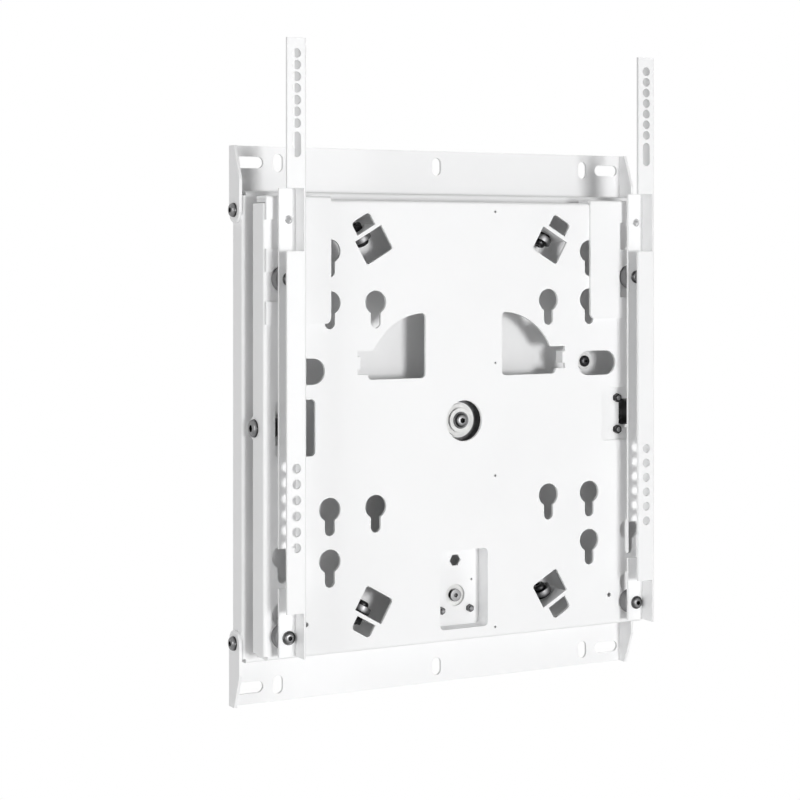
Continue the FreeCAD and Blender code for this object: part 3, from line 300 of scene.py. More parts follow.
@dataclass(frozen=True)
class PlatedSteel(Finish):
    """Plated steel with a cloudy gloss, fine marks from the die and painted shade in its recesses."""

    # darkest factor of the painted shade in recesses
    recess_shade: float = 0.08

    def paint_recess_shade(self, tree: bpy.types.NodeTree, colour: bpy.types.NodeSocket) -> bpy.types.NodeSocket:
        """Paints shade into sockets, grooves and the foot of a head, from ambient occlusion.

        Args:
            tree: the material's nodes
            colour: the colour of the open faces

        Returns:
            the darkened colour's socket
        """
        # painted shade: ambient occlusion within 6 mm darkens the colour down to the recess factor
        shelter = tree.nodes.new("ShaderNodeAmbientOcclusion")
        shelter.samples = 8
        shelter.inputs["Distance"].default_value = 6.0 * MM
        reach = tree.nodes.new("ShaderNodeMapRange")
        for name, number in (("From Min", 0.6), ("From Max", 1.0), ("To Min", self.recess_shade),
                             ("To Max", 1.0)):
            reach.inputs[name].default_value = number
        tree.links.new(shelter.outputs["AO"], reach.inputs["Value"])
        shade = tree.nodes.new("ShaderNodeVectorMath")
        shade.operation = "SCALE"
        tree.links.new(colour, shade.inputs[0])
        tree.links.new(reach.outputs["Result"], shade.inputs["Scale"])
        return shade.outputs["Vector"]

    def dress(self, tree: bpy.types.NodeTree, shader: bpy.types.Node) -> None:
        """Adds the clouded plating, painted shade in the recesses and the fine marks."""
        cloud = self.noise(tree, 260.0, 3.0)
        open_faces = self.tint(tree, cloud, 0.85, 1.15)
        tree.links.new(self.paint_recess_shade(tree, open_faces), shader.inputs["Base Color"])
        tree.links.new(self.spread(tree, cloud, self.roughness - 0.06, self.roughness + 0.08),
                       shader.inputs["Roughness"])
        marks = self.emboss(tree, self.noise(tree, self.grain, 4.0), self.relief)
        tree.links.new(marks, shader.inputs["Normal"])


@dataclass(frozen=True)
class MouldedPolymer(Finish):
    """Moulded plastic with an eroded-mould texture."""

    def dress(self, tree: bpy.types.NodeTree, shader: bpy.types.Node) -> None:
        """Adds the mould's texture and a slight patchiness."""
        patch = self.noise(tree, 120.0, 2.0)
        tree.links.new(self.tint(tree, patch, 0.88, 1.1), shader.inputs["Base Color"])
        tree.links.new(self.spread(tree, patch, self.roughness - 0.04, self.roughness + 0.06),
                       shader.inputs["Roughness"])
        texture = self.emboss(tree, self.noise(tree, self.grain, 3.0), self.relief)
        tree.links.new(texture, shader.inputs["Normal"])


FINISHES: dict[Slot, Finish] = {
    Slot.WHITE: PowderCoat("powder_white", (0.89, 0.892, 0.895), 0.42, grain=620.0, relief=0.012),
    Slot.DARK: PlatedSteel("zinc_dark", (0.2, 0.2, 0.203), 0.33, 1.0, 2600.0, 0.006),
    Slot.SPACER: MouldedPolymer("spacer_grey", (0.17, 0.17, 0.174), 0.5, 0.0, 1800.0, 0.01),
    Slot.BLACK: MouldedPolymer("wheel_black", (0.012, 0.012, 0.013), 0.45, 0.0, 1500.0, 0.012),
    Slot.BRIGHT: PlatedSteel("steel_ground", (0.26, 0.26, 0.265), 0.46, 1.0, 3200.0, 0.004),
    Slot.NYLON: MouldedPolymer("nylon_white", (0.82, 0.82, 0.81), 0.5, 0.0, 1400.0, 0.008),
}
# black oxide finish, with lighter painted shade in its recesses than the default
OXIDE = PlatedSteel("oxide_black", (0.05, 0.05, 0.052), 0.32, 0.85, 2600.0, 0.006, recess_shade=0.3)
# white coat on the hub cup, with painted shade outside a radius
CUP = CupShadeCoat("powder_white_cup_shade", (0.89, 0.892, 0.895), 0.42, grain=620.0, relief=0.012)


# ---- turned and forged pieces


@dataclass(frozen=True)
class Turned(ABC):
    """A small piece made about its own Z axis, then set on its seat."""

    @abstractmethod
    def build(self, mesh: bmesh.types.BMesh) -> None:
        """Adds the piece to the mesh, in millimetres, about the mesh's Z axis."""


def spin_profile(mesh: bmesh.types.BMesh, profile: Sequence[Point], steps: int,
                 closed: bool) -> list[bmesh.types.BMVert]:
    """Spins a line of (radius, height) points about the Z axis.

    Args:
        mesh: where the surface goes
        profile: the points, in millimetres
        steps: facets round the axis
        closed: whether the last point joins the first

    Returns:
        the vertices of the surface
    """
    before = set(mesh.verts)
    line = [mesh.verts.new((radius, 0.0, height)) for radius, height in profile]
    pairs = list(zip(line, line[1:])) + ([(line[-1], line[0])] if closed else [])
    edges = [mesh.edges.new(pair) for pair in pairs]
    bmesh.ops.spin(mesh, geom=line + edges, cent=(0, 0, 0), axis=(0, 0, 1), angle=2 * math.pi,
                   steps=steps, use_merge=True, use_normal_flip=False, use_duplicate=False)
    made = [vertex for vertex in mesh.verts if vertex not in before]
    bmesh.ops.remove_doubles(mesh, verts=made, dist=0.001)
    return [vertex for vertex in mesh.verts if vertex not in before]


def rounded(profile: Sequence[Point], radii: Sequence[float], steps: int = 3) -> list[Point]:
    """Rounds the corners of a profile.

    Args:
        profile: the corners
        radii: a radius for each corner, 0 to keep it sharp
        steps: points along each rounding, less one

    Returns:
        the corners with short curves in place of those with a radius
    """
    result: list[Point] = []
    count = len(profile)
    for index, (corner, radius) in enumerate(zip(profile, radii)):
        if radius <= 0:
            result.append(corner)
            continue
        here = Vector(corner)
        back = (Vector(profile[index - 1]) - here).normalized() * radius
        ahead = (Vector(profile[(index + 1) % count]) - here).normalized() * radius
        for step in range(steps + 1):
            share = step / steps
            spot = here + back * (1 - share) ** 2 + ahead * share ** 2
            result.append((spot.x, spot.y))
    return result


@dataclass(frozen=True)
class TurnedRing(Turned):
    """Spacer, washer, wheel or race: a closed profile spun about the axis."""

    profile: tuple[Point, ...]
    radii: tuple[float, ...]
    steps: int = 64
    bored: bool = True

    def build(self, mesh: bmesh.types.BMesh) -> None:
        """Spins the rounded profile, which meets the axis unless the piece is bored."""
        made = spin_profile(mesh, rounded(self.profile, self.radii), self.steps, self.bored)
        faces = list({face for vertex in made for face in vertex.link_faces})
        bmesh.ops.recalc_face_normals(mesh, faces=faces)


@dataclass(frozen=True)
class ButtonScrew(Turned):
    """Domed screw with a hexagon socket, a collar if any, and thread past its nut."""

    shank: float
    head: float
    high: float
    length: float
    socket: float
    thread: float = 0.0
    neck: float = 0.0
    neck_long: float = 0.0
    collar: float = 0.0
    steps: int = 48

    def outline(self) -> list[Point]:
        """The half section from the tip's centre round to the edge of the head's flat top.

        Returns:
            (radius, height) points
        """
        body, rim = self.shank / 2, self.head / 2
        points: list[Point] = [(0.0, -self.length), (body - 0.8, -self.length)]
        points += [(body, 0.8 - self.length)]
        turns = int(self.thread / 1.25)
        for turn in range(turns):
            base = 0.8 - self.length + turn * 1.25
            points += [(body, base + 0.2), (body - 0.6, base + 0.6), (body, base + 1.05)]
        if self.neck:
            points += [(body, -self.neck_long), (self.neck / 2, -self.neck_long)]
            body = self.neck / 2
        points += [(body, 0.0), (rim - 0.3, 0.0), (rim, 0.3)]
        dome, foot, flat = rim, self.high * 0.22, self.socket * 0.72
        if self.collar:
            dome, foot = rim * 0.76, self.collar + 0.3
            points += [(rim, self.collar - 0.3), (rim - 0.3, self.collar),
                       (dome + 0.3, self.collar - 0.1)]
        points.append((dome, foot))
        for step in range(1, 7):
            turn = math.radians(15 * step * 0.82)
            share = math.sin(turn) / math.sin(math.radians(73.8))
            points.append((flat + (dome - flat) * math.cos(turn) ** 0.9,
                           foot + (self.high - foot) * share))
        return points

    def build(self, mesh: bmesh.types.BMesh) -> None:
        """Spins the outline, then sinks the socket into its open top."""
        before = set(mesh.verts)
        made = spin_profile(mesh, self.outline(), self.steps, False)
        rim = [edge for vertex in made for edge in vertex.link_edges if edge.is_boundary]
        rim = list(dict.fromkeys(rim))
        hexagon = bmesh.ops.create_circle(mesh, cap_ends=False, segments=6,
                                          radius=self.socket / math.sqrt(3))["verts"]
        bmesh.ops.translate(mesh, verts=hexagon, vec=(0, 0, self.high))
        inner = list({edge for vertex in hexagon for edge in vertex.link_edges})
        bmesh.ops.triangle_fill(mesh, use_beauty=True, use_dissolve=False, edges=rim + inner)
        wall = bmesh.ops.extrude_edge_only(mesh, edges=inner)["geom"]
        floor = [item for item in wall if isinstance(item, bmesh.types.BMVert)]
        bmesh.ops.translate(mesh, verts=floor, vec=(0, 0, -self.high * 0.68))
        foot = [edge for edge in wall if isinstance(edge, bmesh.types.BMEdge)
                and all(vertex in floor for vertex in edge.verts)]
        bmesh.ops.edgeloop_fill(mesh, edges=foot)
        new = [vertex for vertex in mesh.verts if vertex not in before]
        faces = list({face for vertex in new for face in vertex.link_faces})
        bmesh.ops.recalc_face_normals(mesh, faces=faces)


@dataclass(frozen=True)
class HexNut(Turned):
    """Hexagon nut with its corners taken off top and bottom, and a flange where it has one."""

    across: float
    hole: float
    high: float
    flange: float = 0.0
    flange_high: float = 0.0

    def build(self, mesh: bmesh.types.BMesh) -> None:
        """Fills the ring between hexagon and hole, raises it and trims the corners."""
        before = set(mesh.verts)
        outer = bmesh.ops.create_circle(mesh, cap_ends=False, segments=6,
                                        radius=self.across / math.sqrt(3))["verts"]
        inner = bmesh.ops.create_circle(mesh, cap_ends=False, segments=24,
                                        radius=self.hole / 2)["verts"]
        edges = list({edge for vertex in outer + inner for edge in vertex.link_edges})
        filled = bmesh.ops.triangle_fill(mesh, use_beauty=True, use_dissolve=False, edges=edges)
        faces = [item for item in filled["geom"] if isinstance(item, bmesh.types.BMFace)]
        raised = bmesh.ops.extrude_face_region(mesh, geom=faces, use_keep_orig=True)["geom"]
        top = [item for item in raised if isinstance(item, bmesh.types.BMVert)]
        total = self.high + self.flange_high
        bmesh.ops.translate(mesh, verts=top, vec=(0, 0, total))
        new = [vertex for vertex in mesh.verts if vertex not in before]
        corners = [vertex for vertex in new
                   if math.hypot(vertex.co.x, vertex.co.y) > self.across / math.sqrt(3) - 0.01]
        bmesh.ops.bevel(mesh, geom=corners, offset=self.across * 0.08, offset_type="OFFSET",
                        affect="VERTICES", segments=1, profile=0.5, material=-1)
        if self.flange:
            spin_profile(mesh, [(self.hole / 2, 0.0), (self.flange / 2, 0.0),
                                (self.flange / 2, self.flange_high * 0.6),
                                (self.across * 0.55, self.flange_high),
                                (self.hole / 2, self.flange_high)], 48, True)
        new = [vertex for vertex in mesh.verts if vertex not in before]
        faces = list({face for vertex in new for face in vertex.link_faces})
        bmesh.ops.recalc_face_normals(mesh, faces=faces)


@dataclass(frozen=True)
class CutPlates(Turned):
    """Flat sheet pieces with any outlines, raised along the seat's axis."""

    outlines: tuple[tuple[Point, ...], ...]
    thick: float

    def build(self, mesh: bmesh.types.BMesh) -> None:
        """Lays each outline down as a face and raises it to the sheet's thickness."""
        for outline in self.outlines:
            corners = [mesh.verts.new((across, up, 0.0)) for across, up in outline]
            face = mesh.faces.new(corners)
            raised = bmesh.ops.extrude_face_region(mesh, geom=[face], use_keep_orig=True)["geom"]
            top = [item for item in raised if isinstance(item, bmesh.types.BMVert)]
            bmesh.ops.translate(mesh, verts=top, vec=(0.0, 0.0, self.thick))
            faces = list({side for vertex in corners + top for side in vertex.link_faces})
            bmesh.ops.recalc_face_normals(mesh, faces=faces)


def set_pieces(name: str, node: str | None, body: str, slot: Slot, shape: Turned,
               seats: Iterable[Seat], finish: Finish | None = None) -> bpy.types.Object:
    """Builds equal pieces on their seats as one object that stands for a node.

    Args:
        name: the object's name
        node: the node that it stands for, or None where it adds to one
        body: the body that it rides on
        slot: the record's slot that its finish comes from
        shape: what stands on each seat
        seats: one seat for each piece
        finish: a finish of its own, where it differs from the slot's

    Returns:
        the finished object
    """
    mesh = bmesh.new()
    for seat in seats:
        before = set(mesh.verts)
        shape.build(mesh)
        new = [vertex for vertex in mesh.verts if vertex not in before]
        bmesh.ops.scale(mesh, verts=new, vec=(MM, MM, MM))
        bmesh.ops.transform(mesh, verts=new, matrix=seat.matrix())
    data = bpy.data.meshes.new(name)
    mesh.to_mesh(data)
    mesh.free()
    made = bpy.data.objects.new(name, data)
    bpy.context.collection.objects.link(made)
    data.materials.append((finish or FINISHES[slot]).material())
    data.shade_smooth()
    data.set_sharp_from_angle(angle=math.radians(32))
    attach(made, body)
    if node:
        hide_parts(node)
    LOG.info("%s: %d vertices on %s", name, len(data.vertices), body)
    return made


# ---- the mount's sub-assemblies


@dataclass(frozen=True)
class Layers:
    """Distances in front of the wall plane, in millimetres."""

    carrier: float = 25.0
    rotor_face: float = 60.0
    rotor_back: float = 57.0
    axle: float = 39.0
    roller: float = 36.3
    box_floor: float = 39.0
    rail_back: float = 70.5


@dataclass(frozen=True)
class SubAssembly(ABC):
    """A group of pieces that are made together."""

    layers: Layers = field(default_factory=Layers)

    @abstractmethod
    def make(self) -> list[bpy.types.Object]:
        """Builds and dresses the group's pieces."""


@dataclass(frozen=True)
class SheetMetal(SubAssembly):
    """Every folded, pressed or turned piece whose own node is shown."""

    nodes: Mapping[str, bpy.types.Object] = field(default_factory=dict)
    coats: ClassVar[dict[Slot, tuple[str, ...]]] = {
        Slot.WHITE: ("wall_strip_top", "wall_strip_bottom", "carrier_pan", "rotor_pan", "hub_cup",
                     "hanger_right", "hanger_left", "rail_right", "rail_left",
                     "side_bracket_right", "axle_arm_right", "axle_arm_left", "lock_box"),
        Slot.BRIGHT: ("hub_axle", "roller_races", "lug_washers"),
        Slot.BLACK: ("wheel_spacers", "wheel_washers"),
        Slot.NYLON: ("hub_bush", "lock_block"),
    }

    def make(self) -> list[bpy.types.Object]:
        """Coats the nodes that are shown as they are.

        Returns:
            the coated nodes
        """
        coated = []
        for slot, names in self.coats.items():
            for name in names:
                piece = self.nodes[name]
                piece.data.materials.clear()
                # the hub cup's coat carries painted shade outside a radius
                coat = CUP if name == "hub_cup" else FINISHES[slot]
                piece.data.materials.append(coat.material())
                coated.append(piece)
                LOG.info("%s: %s", name, slot.value)
        return coated


@dataclass(frozen=True)
class SheetDetails(SubAssembly):
    """Rounded corners in the lugs' windows, and the narrow left side bracket."""

    lean: float = 60.0
    window_start: float = 190.0
    window_half: float = 16.5
    nut_window_end: float = 234.3
    nut_window_half: float = 11.25
    corner: float = 3.0
    nut_corner: float = 4.0
    sheet: float = 3.0

    def fillet(self, angle: float, radius: float, across: float, inward: int,
               rounding: float) -> tuple[Point, ...]:
        """The filling of one window corner.

        Args:
            angle: the lug's lean in degrees
            radius: the corner's distance along the lug's line
            across: the corner's distance beside that line
            inward: 1 where the window lies beyond the corner, -1 where it lies before it
            rounding: the corner's radius

        Returns:
            the outline, seen from the front
        """
        along = Vector((math.cos(math.radians(angle)), math.sin(math.radians(angle))))
        beside = Vector((-along.y, along.x))
        tip = along * radius + beside * across
        ahead, aside = along * inward, beside * -math.copysign(1.0, across)
        outline = [tip]
        for step in range(7):
            turn = math.radians(15.0 * step)
            outline.append(tip + ahead * rounding * (1 - math.sin(turn))
                           + aside * rounding * (1 - math.cos(turn)))
        return tuple((spot.x, spot.y) for spot in outline)

    def bracket(self) -> tuple[Point, ...]:
        """The left bracket's outline, notched for the wheel.

        Returns:
            the outline, seen from the front
        """
        return ((-179.0, -32.0), (-179.0, 32.0), (-213.0, 32.0), (-213.0, 15.5), (-189.0, 15.5),
                (-189.0, -15.5), (-213.0, -15.5), (-213.0, -32.0))

    def make(self) -> list[bpy.types.Object]:
        """Builds the corners and the bracket.

        Returns:
            both pieces
        """
        corners = tuple(
            self.fillet(angle, radius, side * half, inward, rounding)
            for angle in (self.lean, 180 - self.lean, 180 + self.lean, 360 - self.lean)
            for radius, half, inward, rounding in (
                (self.window_start, self.window_half, 1, self.corner),
                (self.nut_window_end, self.nut_window_half, -1, self.nut_corner))
            for side in (1.0, -1.0))
        back, front = self.layers.rotor_back, Facing.FRONT.value
        return [set_pieces("lug_window_corners", None, "rotor", Slot.WHITE,
                           CutPlates(corners, self.sheet), [Seat((0.0, -back, 0.0), front)]),
                set_pieces("side_bracket_left_narrow", "side_bracket_left", "rotor", Slot.WHITE,
                           CutPlates((self.bracket(),), self.sheet),
                           [Seat((0.0, self.sheet - back, 0.0), front)])]


@dataclass(frozen=True)
class EarFasteners(SubAssembly):
    """Screws and nuts that hold the carrier between the wall strips' ears."""

    reach: float = 230.0
    nut_reach: float = 217.5
    rise: float = 210.0
    setback: float = 12.5

    def seats(self, reach: float) -> list[Seat]:
        """One seat at each ear.

        Args:
            reach: distance from the middle to the seat

        Returns:
            the four seats
        """
        return [Seat((side * reach, -self.setback, up * self.rise), (side, 0.0, 0.0))
                for side in (1.0, -1.0) for up in (1.0, -1.0)]

    def make(self) -> list[bpy.types.Object]:
        """Builds the screws and the nuts.

        Returns:
            both pieces
        """
        screw = ButtonScrew(8.0, 14.0, 4.5, 14.5, 5.0, thread=2.5)
        nut = HexNut(13.0, 8.4, 6.5)
        return [set_pieces("ear_screw_set", "ear_screws", "wall_side", Slot.DARK, screw,
                           self.seats(self.reach)),
                set_pieces("ear_nut_set", "ear_nuts", "wall_side", Slot.DARK, nut,
                           self.seats(self.nut_reach))]


@dataclass(frozen=True)
class GuideFasteners(SubAssembly):
    """The two carrier screws behind the access slots."""

    across: float = 166.0
    rise: float = 54.0

    def seats(self, front: float, facing: Facing) -> list[Seat]:
        """A seat on each side.

        Args:
            front: distance in front of the wall
            facing: the way that the piece points

        Returns:
            the two seats
        """
        return [Seat((side * self.across, -front, self.rise), facing.value) for side in (1, -1)]

    def make(self) -> list[bpy.types.Object]:
        """Builds the spacers, the screws and the nuts.

        Returns:
            the three pieces
        """
        face = self.layers.carrier
        spacer = TurnedRing(((3.2, 0.0), (9.0, 0.0), (9.0, 1.5), (3.2, 1.5)), (0, 0.3, 0.3, 0.2))
        screw = ButtonScrew(6.0, 12.0, 3.3, 10.5, 3.0, thread=1.3)
        nut = HexNut(10.0, 6.4, 4.0)
        return [set_pieces("guide_spacer_set", "guide_spacers", "wall_side", Slot.NYLON, spacer,
                           self.seats(face, Facing.FRONT)),
                set_pieces("guide_screw_set", "guide_screws", "wall_side", Slot.DARK, screw,
                           self.seats(face + 1.5, Facing.FRONT), OXIDE),
                set_pieces("guide_nut_set", "guide_nuts", "wall_side", Slot.DARK, nut,
                           self.seats(face - 3.0, Facing.BACK))]


@dataclass(frozen=True)
class Hub(SubAssembly):
    """Washer and screw on the end of the turning axle."""

    journal_end: float = 50.3

    def make(self) -> list[bpy.types.Object]:
        """Builds the washer and the screw.

        Returns:
            both pieces
        """
        washer = TurnedRing(((4.2, 0.0), (12.5, 0.0), (12.5, 2.5), (4.2, 2.5)), (0, 0.4, 0.5, 0.2))
        screw = ButtonScrew(8.0, 17.0, 4.5, 17.7, 5.0, collar=1.3)
        front = Facing.FRONT.value
        return [set_pieces("hub_washer_disc", "hub_washer", "wall_side", Slot.NYLON, washer,
                           [Seat((0.0, -self.journal_end, 0.0), front)]),
                set_pieces("hub_screw_domed", "hub_screw", "wall_side", Slot.DARK, screw,
                           [Seat((0.0, -self.journal_end - 2.5, 0.0), front)])]


@dataclass(frozen=True)
class RailFasteners(SubAssembly):
    """Screws, round spacers and flanged nuts that hold the rails to the rotor."""

    across: float = 200.0
    top: float = 143.4
    low: float = -197.0

    def seats(self, front: float, facing: Facing) -> list[Seat]:
        """A seat at each of the four screws.

        Args:
            front: distance in front of the wall
            facing: the way that the piece points

        Returns:
            the four seats
        """
        return [Seat((side * self.across, -front, z), facing.value)
                for side in (1, -1) for z in (self.top, self.low)]

    def make(self) -> list[bpy.types.Object]:
        """Builds the screws, the spacers and the nuts.

        Returns:
            the three pieces
        """
        screw = ButtonScrew(8.0, 13.5, 3.7, 26.6, 4.2, thread=2.6, collar=1.0)
        spacer = TurnedRing(((4.2, 0.0), (12.5, 0.0), (12.5, 10.5), (4.2, 10.5)),
                            (0.4, 0.8, 0.8, 0.4))
        nut = HexNut(13.0, 8.4, 6.5, 17.0, 1.6)
        back = self.layers.rail_back
        return [set_pieces("rail_screw_set", "rail_screws", "rotor", Slot.DARK, screw,
                           self.seats(back + 3.0, Facing.FRONT)),
                set_pieces("rail_spacer_set", "rail_spacers", "rotor", Slot.SPACER, spacer,
                           self.seats(self.layers.rotor_face, Facing.FRONT)),
                set_pieces("rail_nut_set", "rail_nuts", "rotor", Slot.DARK, nut,
                           self.seats(self.layers.rotor_back, Facing.BACK))]


@dataclass(frozen=True)
class LugRollers(SubAssembly):
    """The four steel rollers on the folded lugs, with their bolts and nuts."""

    lean: float = 60.0
    bolt_seat: float = 207.5
    nut_seat: float = 219.5
    names: ClassVar[tuple[str, ...]] = ("roller_upper_right", "roller_upper_left",
                                        "roller_lower_left", "roller_lower_right")

    def seats(self, radius: float, outward: bool) -> list[Seat]:
        """One seat on each lug's radial line.

        Args:
            radius: distance from the turning axis
            outward: whether the piece points away from the axis

        Returns:
            the four seats, in the order of the names
        """
        found = []
        for angle in (self.lean, 180 - self.lean, 180 + self.lean, 360 - self.lean):
            x, z = math.cos(math.radians(angle)), math.sin(math.radians(angle))
            sign = 1 if outward else -1
            found.append(Seat((radius * x, -self.layers.roller, radius * z),
                              (sign * x, 0.0, sign * z)))
        return found

    def ring(self) -> TurnedRing:
        """A bearing's outer ring.

        Returns:
            the ring's shape
        """
        profile = ((8.8, 0.0), (11.0, 0.0), (11.0, 6.4), (8.8, 6.4))
        return TurnedRing(profile, (0.2, 0.6, 0.6, 0.2))

    def seal(self) -> TurnedRing:
        """A bearing's black seals, sunk a little and dished.

        Returns:
            the seals' shape
        """
        profile = ((6.08, 0.5), (7.2, 0.75), (8.8, 0.4), (8.8, 6.0), (7.2, 5.65), (6.08, 5.9))
        return TurnedRing(profile, (0.0, 0.5, 0.0, 0.0, 0.5, 0.0))

    def make(self) -> list[bpy.types.Object]:
        """Builds the bolts, the nuts and each roller on its own body.

        Returns:
            the pieces
        """
        bolt = ButtonScrew(8.0, 14.0, 4.5, 20.0, 5.0, thread=1.3)
        nut = HexNut(13.0, 8.4, 6.5)
        pieces = [set_pieces("lug_bolt_set", "lug_bolts", "rotor", Slot.DARK, bolt,
                             self.seats(self.bolt_seat, False), OXIDE),
                  set_pieces("lug_nut_set", "lug_nuts", "rotor", Slot.DARK, nut,
                             self.seats(self.nut_seat, True), OXIDE)]
        for name, seat in zip(self.names, self.seats(self.bolt_seat + 0.3, True)):
            pieces += [set_pieces(f"{name}_ring", name, name, Slot.BRIGHT, self.ring(), [seat]),
                       set_pieces(f"{name}_seals", name, name, Slot.BLACK, self.seal(), [seat])]
        return pieces


@dataclass(frozen=True)
class SideWheels(SubAssembly):
    """Black wheels on shoulder bolts through the rotor's side flanges."""

    reach: float = 220.0
    arm: float = 177.5
    wheel_start: float = 187.0

    def seat(self, reach: float, side: int, outward: bool = True) -> Seat:
        """A seat on the wheels' common axis.

        Args:
            reach: distance from the middle
            side: 1 for the right, -1 for the left
            outward: whether the piece points away from the middle

        Returns:
            the seat
        """
        along = (float(side if outward else -side), 0.0, 0.0)
        return Seat((side * reach, -self.layers.axle, 0.0), along)

    def wheel(self) -> TurnedRing:
        """A wheel with a long hub and a sloped shoulder up to its tread.

        Returns:
            the wheel's shape
        """
        profile = ((5.08, 0.0), (9.0, 0.0), (9.0, 13.4), (13.7, 17.4), (13.7, 24.5), (12.2, 26.0),
                   (5.08, 26.0))
        return TurnedRing(profile, (0.3, 0.6, 0.6, 1.0, 0.5, 0.5, 0.3))

    def make(self) -> list[bpy.types.Object]:
        """Builds the bolts, the nuts and each wheel on its own body.

        Returns:
            the pieces
        """
        bolt = ButtonScrew(8.0, 17.5, 4.3, 51.0, 6.5, thread=2.5, neck=10.0, neck_long=39.5)
        nut = HexNut(13.0, 8.4, 6.5)
        sides = (1, -1)
        pieces = [set_pieces("axle_bolt_set", "axle_bolts", "rotor", Slot.DARK, bolt,
                             [self.seat(self.reach, side) for side in sides]),
                  set_pieces("axle_nut_set", "axle_nuts", "rotor", Slot.DARK, nut,
                             [self.seat(self.arm, side, False) for side in sides])]
        for side, word in zip(sides, ("right", "left")):
            name = f"side_wheel_{word}"
            pieces.append(set_pieces(f"{name}_tyre", name, name, Slot.BLACK, self.wheel(),
                                     [self.seat(self.wheel_start, side)]))
        return pieces


@dataclass(frozen=True)
class BracketFasteners(SubAssembly):
    """Small screws and nuts in the side windows."""

    across: float = 186.0
    rise: float = 16.5

    def seats(self, front: float, facing: Facing) -> list[Seat]:
        """A seat at each of the four screws.

        Args:
            front: distance in front of the wall
            facing: the way that the piece points

        Returns:
            the four seats
        """
        return [Seat((side * self.across, -front, up * self.rise), facing.value)
                for side in (1, -1) for up in (1, -1)]

    def make(self) -> list[bpy.types.Object]:
        """Builds the screws and the nuts.

        Returns:
            both pieces
        """
        screw = ButtonScrew(5.0, 9.0, 3.0, 11.5, 3.0, thread=1.3)
        nut = HexNut(8.0, 5.3, 4.0)
        back = self.layers.rotor_back
        return [set_pieces("bracket_screw_set", "bracket_screws", "rotor", Slot.DARK, screw,
                           self.seats(back - 6.0, Facing.BACK)),
                set_pieces("bracket_nut_set", "bracket_nuts", "rotor", Slot.DARK, nut,
                           self.seats(back, Facing.FRONT), OXIDE)]


@dataclass(frozen=True)
class Lock(SubAssembly):
    """The lock pin in its box, and the screws of its block."""

    drop: float = -177.7
    across: float = 16.6
    screw_drop: float = -192.0

    def seats(self, front: float, facing: Facing) -> list[Seat]:
        """A seat on each side of the pin.

        Args:
            front: distance in front of the wall
            facing: the way that the piece points

        Returns:
            the two seats
        """
        return [Seat((side * self.across, -front, self.screw_drop), facing.value)
                for side in (1, -1)]

    def make(self) -> list[bpy.types.Object]:
        """Builds the pin, the screws and the nuts.

        Returns:
            the three pieces
        """
        floor = self.layers.box_floor
        pin = TurnedRing(((0.0, 0.4), (1.7, 0.4), (2.0, 1.7), (2.6, 1.7), (6.15, 1.7), (6.15, 0.0),
                          (4.0, 0.0), (4.0, -14.0), (0.0, -14.0)),
                         (0, 0, 0.3, 0.3, 0.6, 0.2, 0, 0.8, 0), 48, False)
        screw = ButtonScrew(4.2, 9.0, 3.0, 16.5, 3.0, thread=1.3)
        nut = HexNut(7.0, 4.6, 3.2)
        return [set_pieces("lock_pin_flat", "lock_pin", "lock_pin", Slot.BRIGHT, pin,
                           [Seat((0.0, -floor - 3.0, self.drop), Facing.FRONT.value)]),
                set_pieces("lock_screw_set", "lock_screws", "rotor", Slot.DARK, screw,
                           self.seats(floor - 8.5, Facing.BACK), FINISHES[Slot.BRIGHT]),
                set_pieces("lock_nut_set", "lock_nuts", "rotor", Slot.BRIGHT, nut,
                           self.seats(floor + 2.5, Facing.FRONT), FINISHES[Slot.DARK])]


# ---- floor, lamps and camera


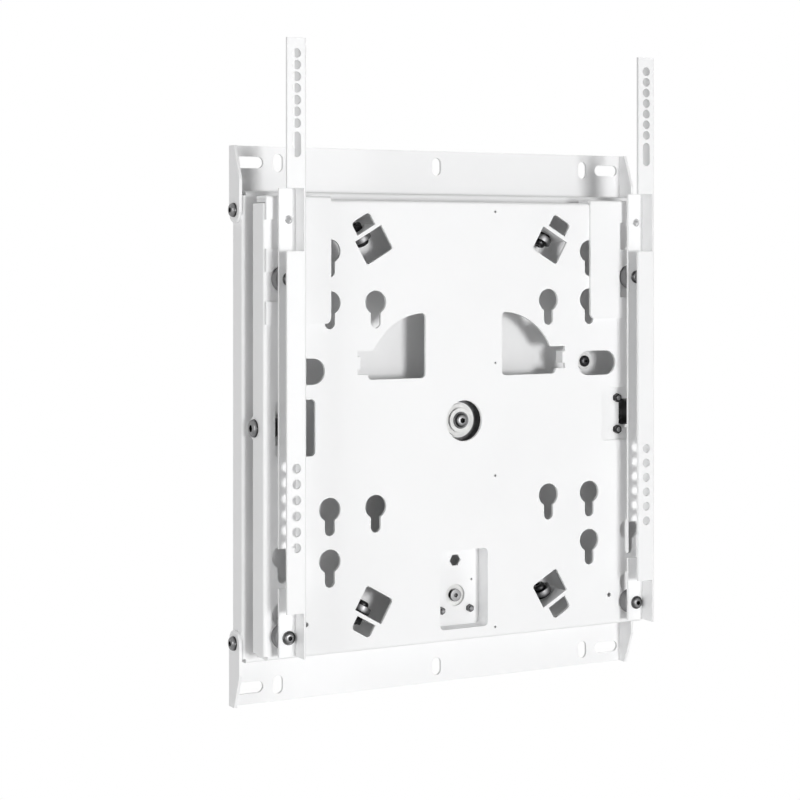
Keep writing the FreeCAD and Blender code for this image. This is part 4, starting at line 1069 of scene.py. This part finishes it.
@dataclass(frozen=True)
class Studio:
    """Pale floor, soft lamps and the photograph's view."""

    floor_drop: float = -900.0
    eye: Spot = (-977.8, -1749.4, 167.7)
    turn: float = -28.17
    lens: float = 87.5
    shift: float = -0.183
    fill: float = 0.2

    def shown_white(self, tree: bpy.types.NodeTree, lit: bpy.types.NodeSocket,
                    target: bpy.types.NodeSocket) -> None:
        """Shows plain white to the eye and in reflections, and the lit surface to the rest.

        Args:
            tree: the nodes of a material or the world
            lit: the shader that lights the scene
            target: where the result goes
        """
        path = tree.nodes.new("ShaderNodeLightPath")
        seen = path.outputs["Is Camera Ray"]
        for name in ("Is Glossy Ray", "Is Transmission Ray"):
            either = tree.nodes.new("ShaderNodeMath")
            either.operation = "MAXIMUM"
            tree.links.new(seen, either.inputs[0])
            tree.links.new(path.outputs[name], either.inputs[1])
            seen = either.outputs[0]
        white = tree.nodes.new("ShaderNodeBackground" if tree == bpy.context.scene.world.node_tree
                               else "ShaderNodeEmission")
        white.inputs["Color"].default_value = (1.0, 1.0, 1.0, 1.0)
        white.inputs["Strength"].default_value = 1.0
        mix = tree.nodes.new("ShaderNodeMixShader")
        tree.links.new(seen, mix.inputs["Fac"])
        tree.links.new(lit, mix.inputs[1])
        tree.links.new(white.outputs[0], mix.inputs[2])
        tree.links.new(mix.outputs[0], target)

    def world(self) -> None:
        """White surroundings that also fill the shadows."""
        scene = bpy.context.scene
        scene.world = scene.world or bpy.data.worlds.new("surroundings")
        scene.world.use_nodes = True
        tree = scene.world.node_tree
        tree.nodes.clear()
        fill = tree.nodes.new("ShaderNodeBackground")
        fill.inputs["Color"].default_value = (1.0, 1.0, 1.0, 1.0)
        fill.inputs["Strength"].default_value = self.fill
        out = tree.nodes.new("ShaderNodeOutputWorld")
        self.shown_white(tree, fill.outputs[0], out.inputs["Surface"])

    def floor(self) -> bpy.types.Object:
        """A pale floor well below the mount.

        Returns:
            the floor
        """
        mesh = bmesh.new()
        bmesh.ops.create_grid(mesh, x_segments=1, y_segments=1, size=6.0)
        bmesh.ops.translate(mesh, verts=mesh.verts, vec=(0, 0, self.floor_drop * MM))
        data = bpy.data.meshes.new("pale_floor")
        mesh.to_mesh(data)
        mesh.free()
        made = bpy.data.objects.new("pale_floor", data)
        bpy.context.collection.objects.link(made)
        pale = bpy.data.materials.new("floor_pale")
        pale.use_nodes = True
        tree = pale.node_tree
        tree.nodes.clear()
        lit = tree.nodes.new("ShaderNodeBsdfDiffuse")
        lit.inputs["Color"].default_value = (0.9, 0.9, 0.9, 1.0)
        out = tree.nodes.new("ShaderNodeOutputMaterial")
        self.shown_white(tree, lit.outputs[0], out.inputs["Surface"])
        data.materials.append(pale)
        return made

    def lamp(self, name: str, spot: Spot, aim: Spot, size: float, power: float) -> None:
        """A square soft lamp.

        Args:
            name: the lamp's name
            spot: where it stands, in metres
            aim: the point that it faces, in metres
            size: the side of its square, in metres
            power: its power in watts
        """
        data = bpy.data.lights.new(name, "AREA")
        data.size = size
        data.energy = power
        made = bpy.data.objects.new(name, data)
        made.location = spot
        made.rotation_euler = (Vector(aim) - Vector(spot)).to_track_quat("-Z", "Y").to_euler()
        bpy.context.collection.objects.link(made)

    def camera(self) -> None:
        """The photograph's view."""
        data = bpy.data.cameras.new("photo_view")
        data.sensor_width = 36.0
        data.lens = self.lens
        data.shift_y = self.shift
        made = bpy.data.objects.new("photo_view", data)
        made.location = Vector(self.eye) * MM
        made.rotation_euler = (math.radians(90.0), 0.0, math.radians(self.turn))
        bpy.context.collection.objects.link(made)
        bpy.context.scene.camera = made

    def make(self) -> None:
        """Sets the view transform, the surroundings, the floor, the lamps and the camera."""
        bpy.context.scene.view_settings.view_transform = "Standard"
        self.world()
        self.floor()
        self.lamp("key_front", (0.68, -5.0, 0.05), (0.0, 0.0, 0.0), 1.1, 138.0)
        self.lamp("soft_left", (-3.0, -1.0, 0.35), (0.0, 0.0, 0.0), 1.6, 35.0)
        self.lamp("soft_behind", (1.9, 2.4, 1.5), (0.0, 0.0, 0.0), 2.0, 42.0)
        self.camera()


def main() -> None:
    """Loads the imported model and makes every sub-assembly."""
    logging.basicConfig(level=logging.INFO, format="%(name)s %(message)s")
    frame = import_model()
    groups: tuple[SubAssembly, ...] = (SheetMetal(nodes=frame["nodes"]), SheetDetails(), EarFasteners(), GuideFasteners(), Hub(),
                                       RailFasteners(), LugRollers(), SideWheels(),
                                       BracketFasteners(), Lock())
    for group in groups:
        made = group.make()
        LOG.info("%s: %d pieces", type(group).__name__, len(made))
    Studio().make()


if __name__ == "__main__":
    main()
